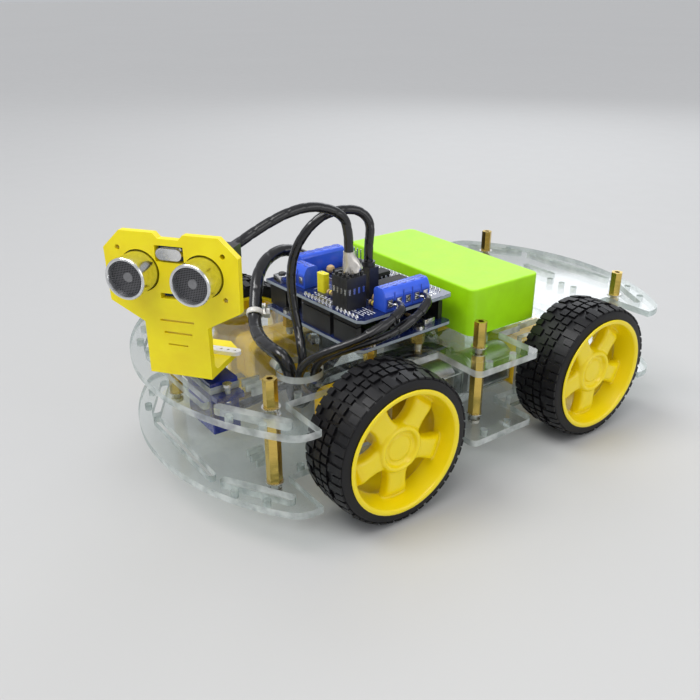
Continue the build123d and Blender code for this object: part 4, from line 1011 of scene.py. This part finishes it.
def shrunk_sleeve():
    """The silvery sleeve that flares and flattens from the cord onto the stacked housings."""
    bm = bmesh.new()
    lean = Vector((0.58, 0.81, 0.0))
    deep = Vector((-0.81, 0.58, 0.0))
    sides = 40
    levels = 14
    rings = []
    for k in range(levels + 1):
        t = k / levels
        ease = t * t * (3 - 2 * t)
        centre = Vector((*PLUGS_AT[:2], 98.15 - 9.0 * t)) + lean * (1.5 * ease)
        ring = []
        for i in range(sides):
            a = 2 * pi * i / sides
            crease = 1 + 0.11 * ease * sin(4 * a + 6 * t) + 0.05 * ease * sin(7 * a - 9 * t)
            wide = (2.35 + 1.9 * ease) * crease
            thick = (2.35 + 0.5 * ease) * crease
            tilt = Vector((0, 0, 1.3 * ease * cos(a)))
            ring.append(bm.verts.new(centre + lean * (wide * cos(a)) + deep * (thick * sin(a)) + tilt))
        rings.append(ring)
    bridge(bm, rings)
    obj = finish_mesh("plug_sleeve_full", bm, [FOIL], "chassis", angle=70)
    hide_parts("plug_sleeve")


terminals()
shield_chips()
shrunk_sleeve()
shield_details()
board_edges()
controller_details()
lead_ends()
plug_details()
jumper_details()


# ---------------------------------------------------------------- small parts of the chassis

def cable_tie():
    """A thin ridged strap round the bundle, its square head and the cut tail."""
    bm = bmesh.new()
    start = (Vector(BUNDLE[5]) + Vector(BUNDLE[6])) / 2
    along = (Vector(BUNDLE[6]) - Vector(BUNDLE[5])).normalized()
    turn = Matrix.Translation(start) @ along.to_track_quat("Z", "Y").to_matrix().to_4x4()
    strap = [(3.1, -1.25), (3.1, 1.25), (3.75, 1.25), (3.95, 0.75), (3.95, -0.75), (3.75, -1.25)]
    lathe(bm, strap, turn, 48)
    block(bm, (5.35, 0, 0), (3.1, 3.7, 3.2), turn, 0, 0.5)
    block(bm, (5.2, 4.6, 0.0), (0.55, 5.6, 2.0), turn, 0, 0.12)
    obj = finish_mesh("cable_tie_full", bm, [NYLON], "chassis")
    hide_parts("cable_tie")


MOTOR_X = 35.6


def motor_details():
    """Gearbox pins and panels, can vents painted as black strips of shade, end bosses and solder tags of the
    four motors.
    """
    bm = bmesh.new()
    for side in (1, -1):
        for end in (1, -1):
            x = side * MOTOR_X
            for face, out in ((26.25, -0.35), (44.95, 0.35)):
                for along, up in ((-7.4, 8.0), (-7.4, -8.0), (14.0, 8.6), (14.0, -8.6)):
                    y, z = end * (WHEEL_Y - along), WHEEL_R + up
                    rod(bm, (side * face, y, z), (side * (face + out), y, z), 1.5, 0, 20, 1.2)
            for up in (-11.245, 11.245):
                block(bm, (x, end * 45.0, WHEEL_R + up), (12.0, 12.0, 0.3), soften=0.1)
            for y in (5.1, 6.7):
                block(bm, (side * 28.5, end * y, 42.3), (1.8, 0.4, 1.4), slot=1)
            rod(bm, (x, end * 1.7, WHEEL_R), (x, end * 0.9, WHEEL_R), 1.0, 1, 16)
            # Painted shade: the can vents are thin black strips on the can, not openings.
            for up in (-10.08, 10.08):
                block(bm, (x, end * 20.0, WHEEL_R + up), (5.0, 3.0, 0.12), slot=2)
    finish_mesh("motor_parts", bm, [GEAR_YELLOW, TIN, BLACK], "chassis")


def washers():
    """Washers at both ends of the pillars and under the posts, and the bore in the top of each post."""
    bm = bmesh.new()
    places = [(sx * 46.3, sy * 101.5) for sx in (1, -1) for sy in (1, -1)] + [(52.5, 0), (-52.5, 0)]
    for x, y in places:
        for z in (21.2, 50.9, 54.2):
            lathe(bm, [(1.9, 0.0), (3.7, 0.0), (3.7, 0.3), (1.9, 0.3)], Matrix.Translation((x, y, z)), 36, 0)
        post = Matrix.Translation((x, y, 66.2))
        lathe(bm, [(1.26, -6.0), (1.26, 0.02), (1.75, 0.03), (1.45, -0.35)], post, 24, 1, closed=False)
    finish_mesh("washers", bm, [STEEL, BRASS], "chassis")


cable_tie()
motor_details()
washers()


# ---------------------------------------------------------------- floor and light

def pale_floor():
    bm = bmesh.new()
    bmesh.ops.create_grid(bm, x_segments=1, y_segments=1, size=30.0)
    mesh = bpy.data.meshes.new("floor")
    bm.to_mesh(mesh)
    bm.free()
    mat = surface("floor_paint", (0.55, 0.55, 0.546), 0.65, vary=0.01, scale=2.0, grain=40.0, lift=0.0)
    mesh.materials.append(mat)
    obj = new_object("floor", mesh)
    obj.location = (0, 0, -0.0002)


def lamp(name, place, aim_at, power, size, colour):
    data = bpy.data.lights.new(name, "AREA")
    data.energy = power
    data.size = size
    data.color = colour
    obj = new_object(name, data)
    obj.location = place
    obj.rotation_mode = "QUATERNION"
    obj.rotation_quaternion = (Vector(aim_at) - Vector(place)).to_track_quat("-Z", "Y")


pale_floor()
lamp("key", (0.25, -0.35, 0.95), (0, 0, 0.04), 3.2, 0.5, (1.0, 0.98, 0.95))
lamp("back", (-0.6, 0.75, 0.7), (0, 0, 0.05), 2.6, 0.7, (0.94, 0.97, 1.0))
lamp("side", (0.9, 0.3, 0.45), (0, 0, 0.05), 1.6, 0.6, (1.0, 1.0, 1.0))
sun_data = bpy.data.lights.new("sun", "SUN")
sun_data.energy = 1.35
sun_data.angle = radians(25)
sun = new_object("sun", sun_data)
sun.rotation_euler = (radians(28), radians(-18), 0)
world = bpy.data.worlds.new("studio")
world.use_nodes = True
world.node_tree.nodes["Background"].inputs["Color"].default_value = (0.93, 0.95, 1.0, 1)
world.node_tree.nodes["Background"].inputs["Strength"].default_value = 0.55
bpy.context.scene.world = world
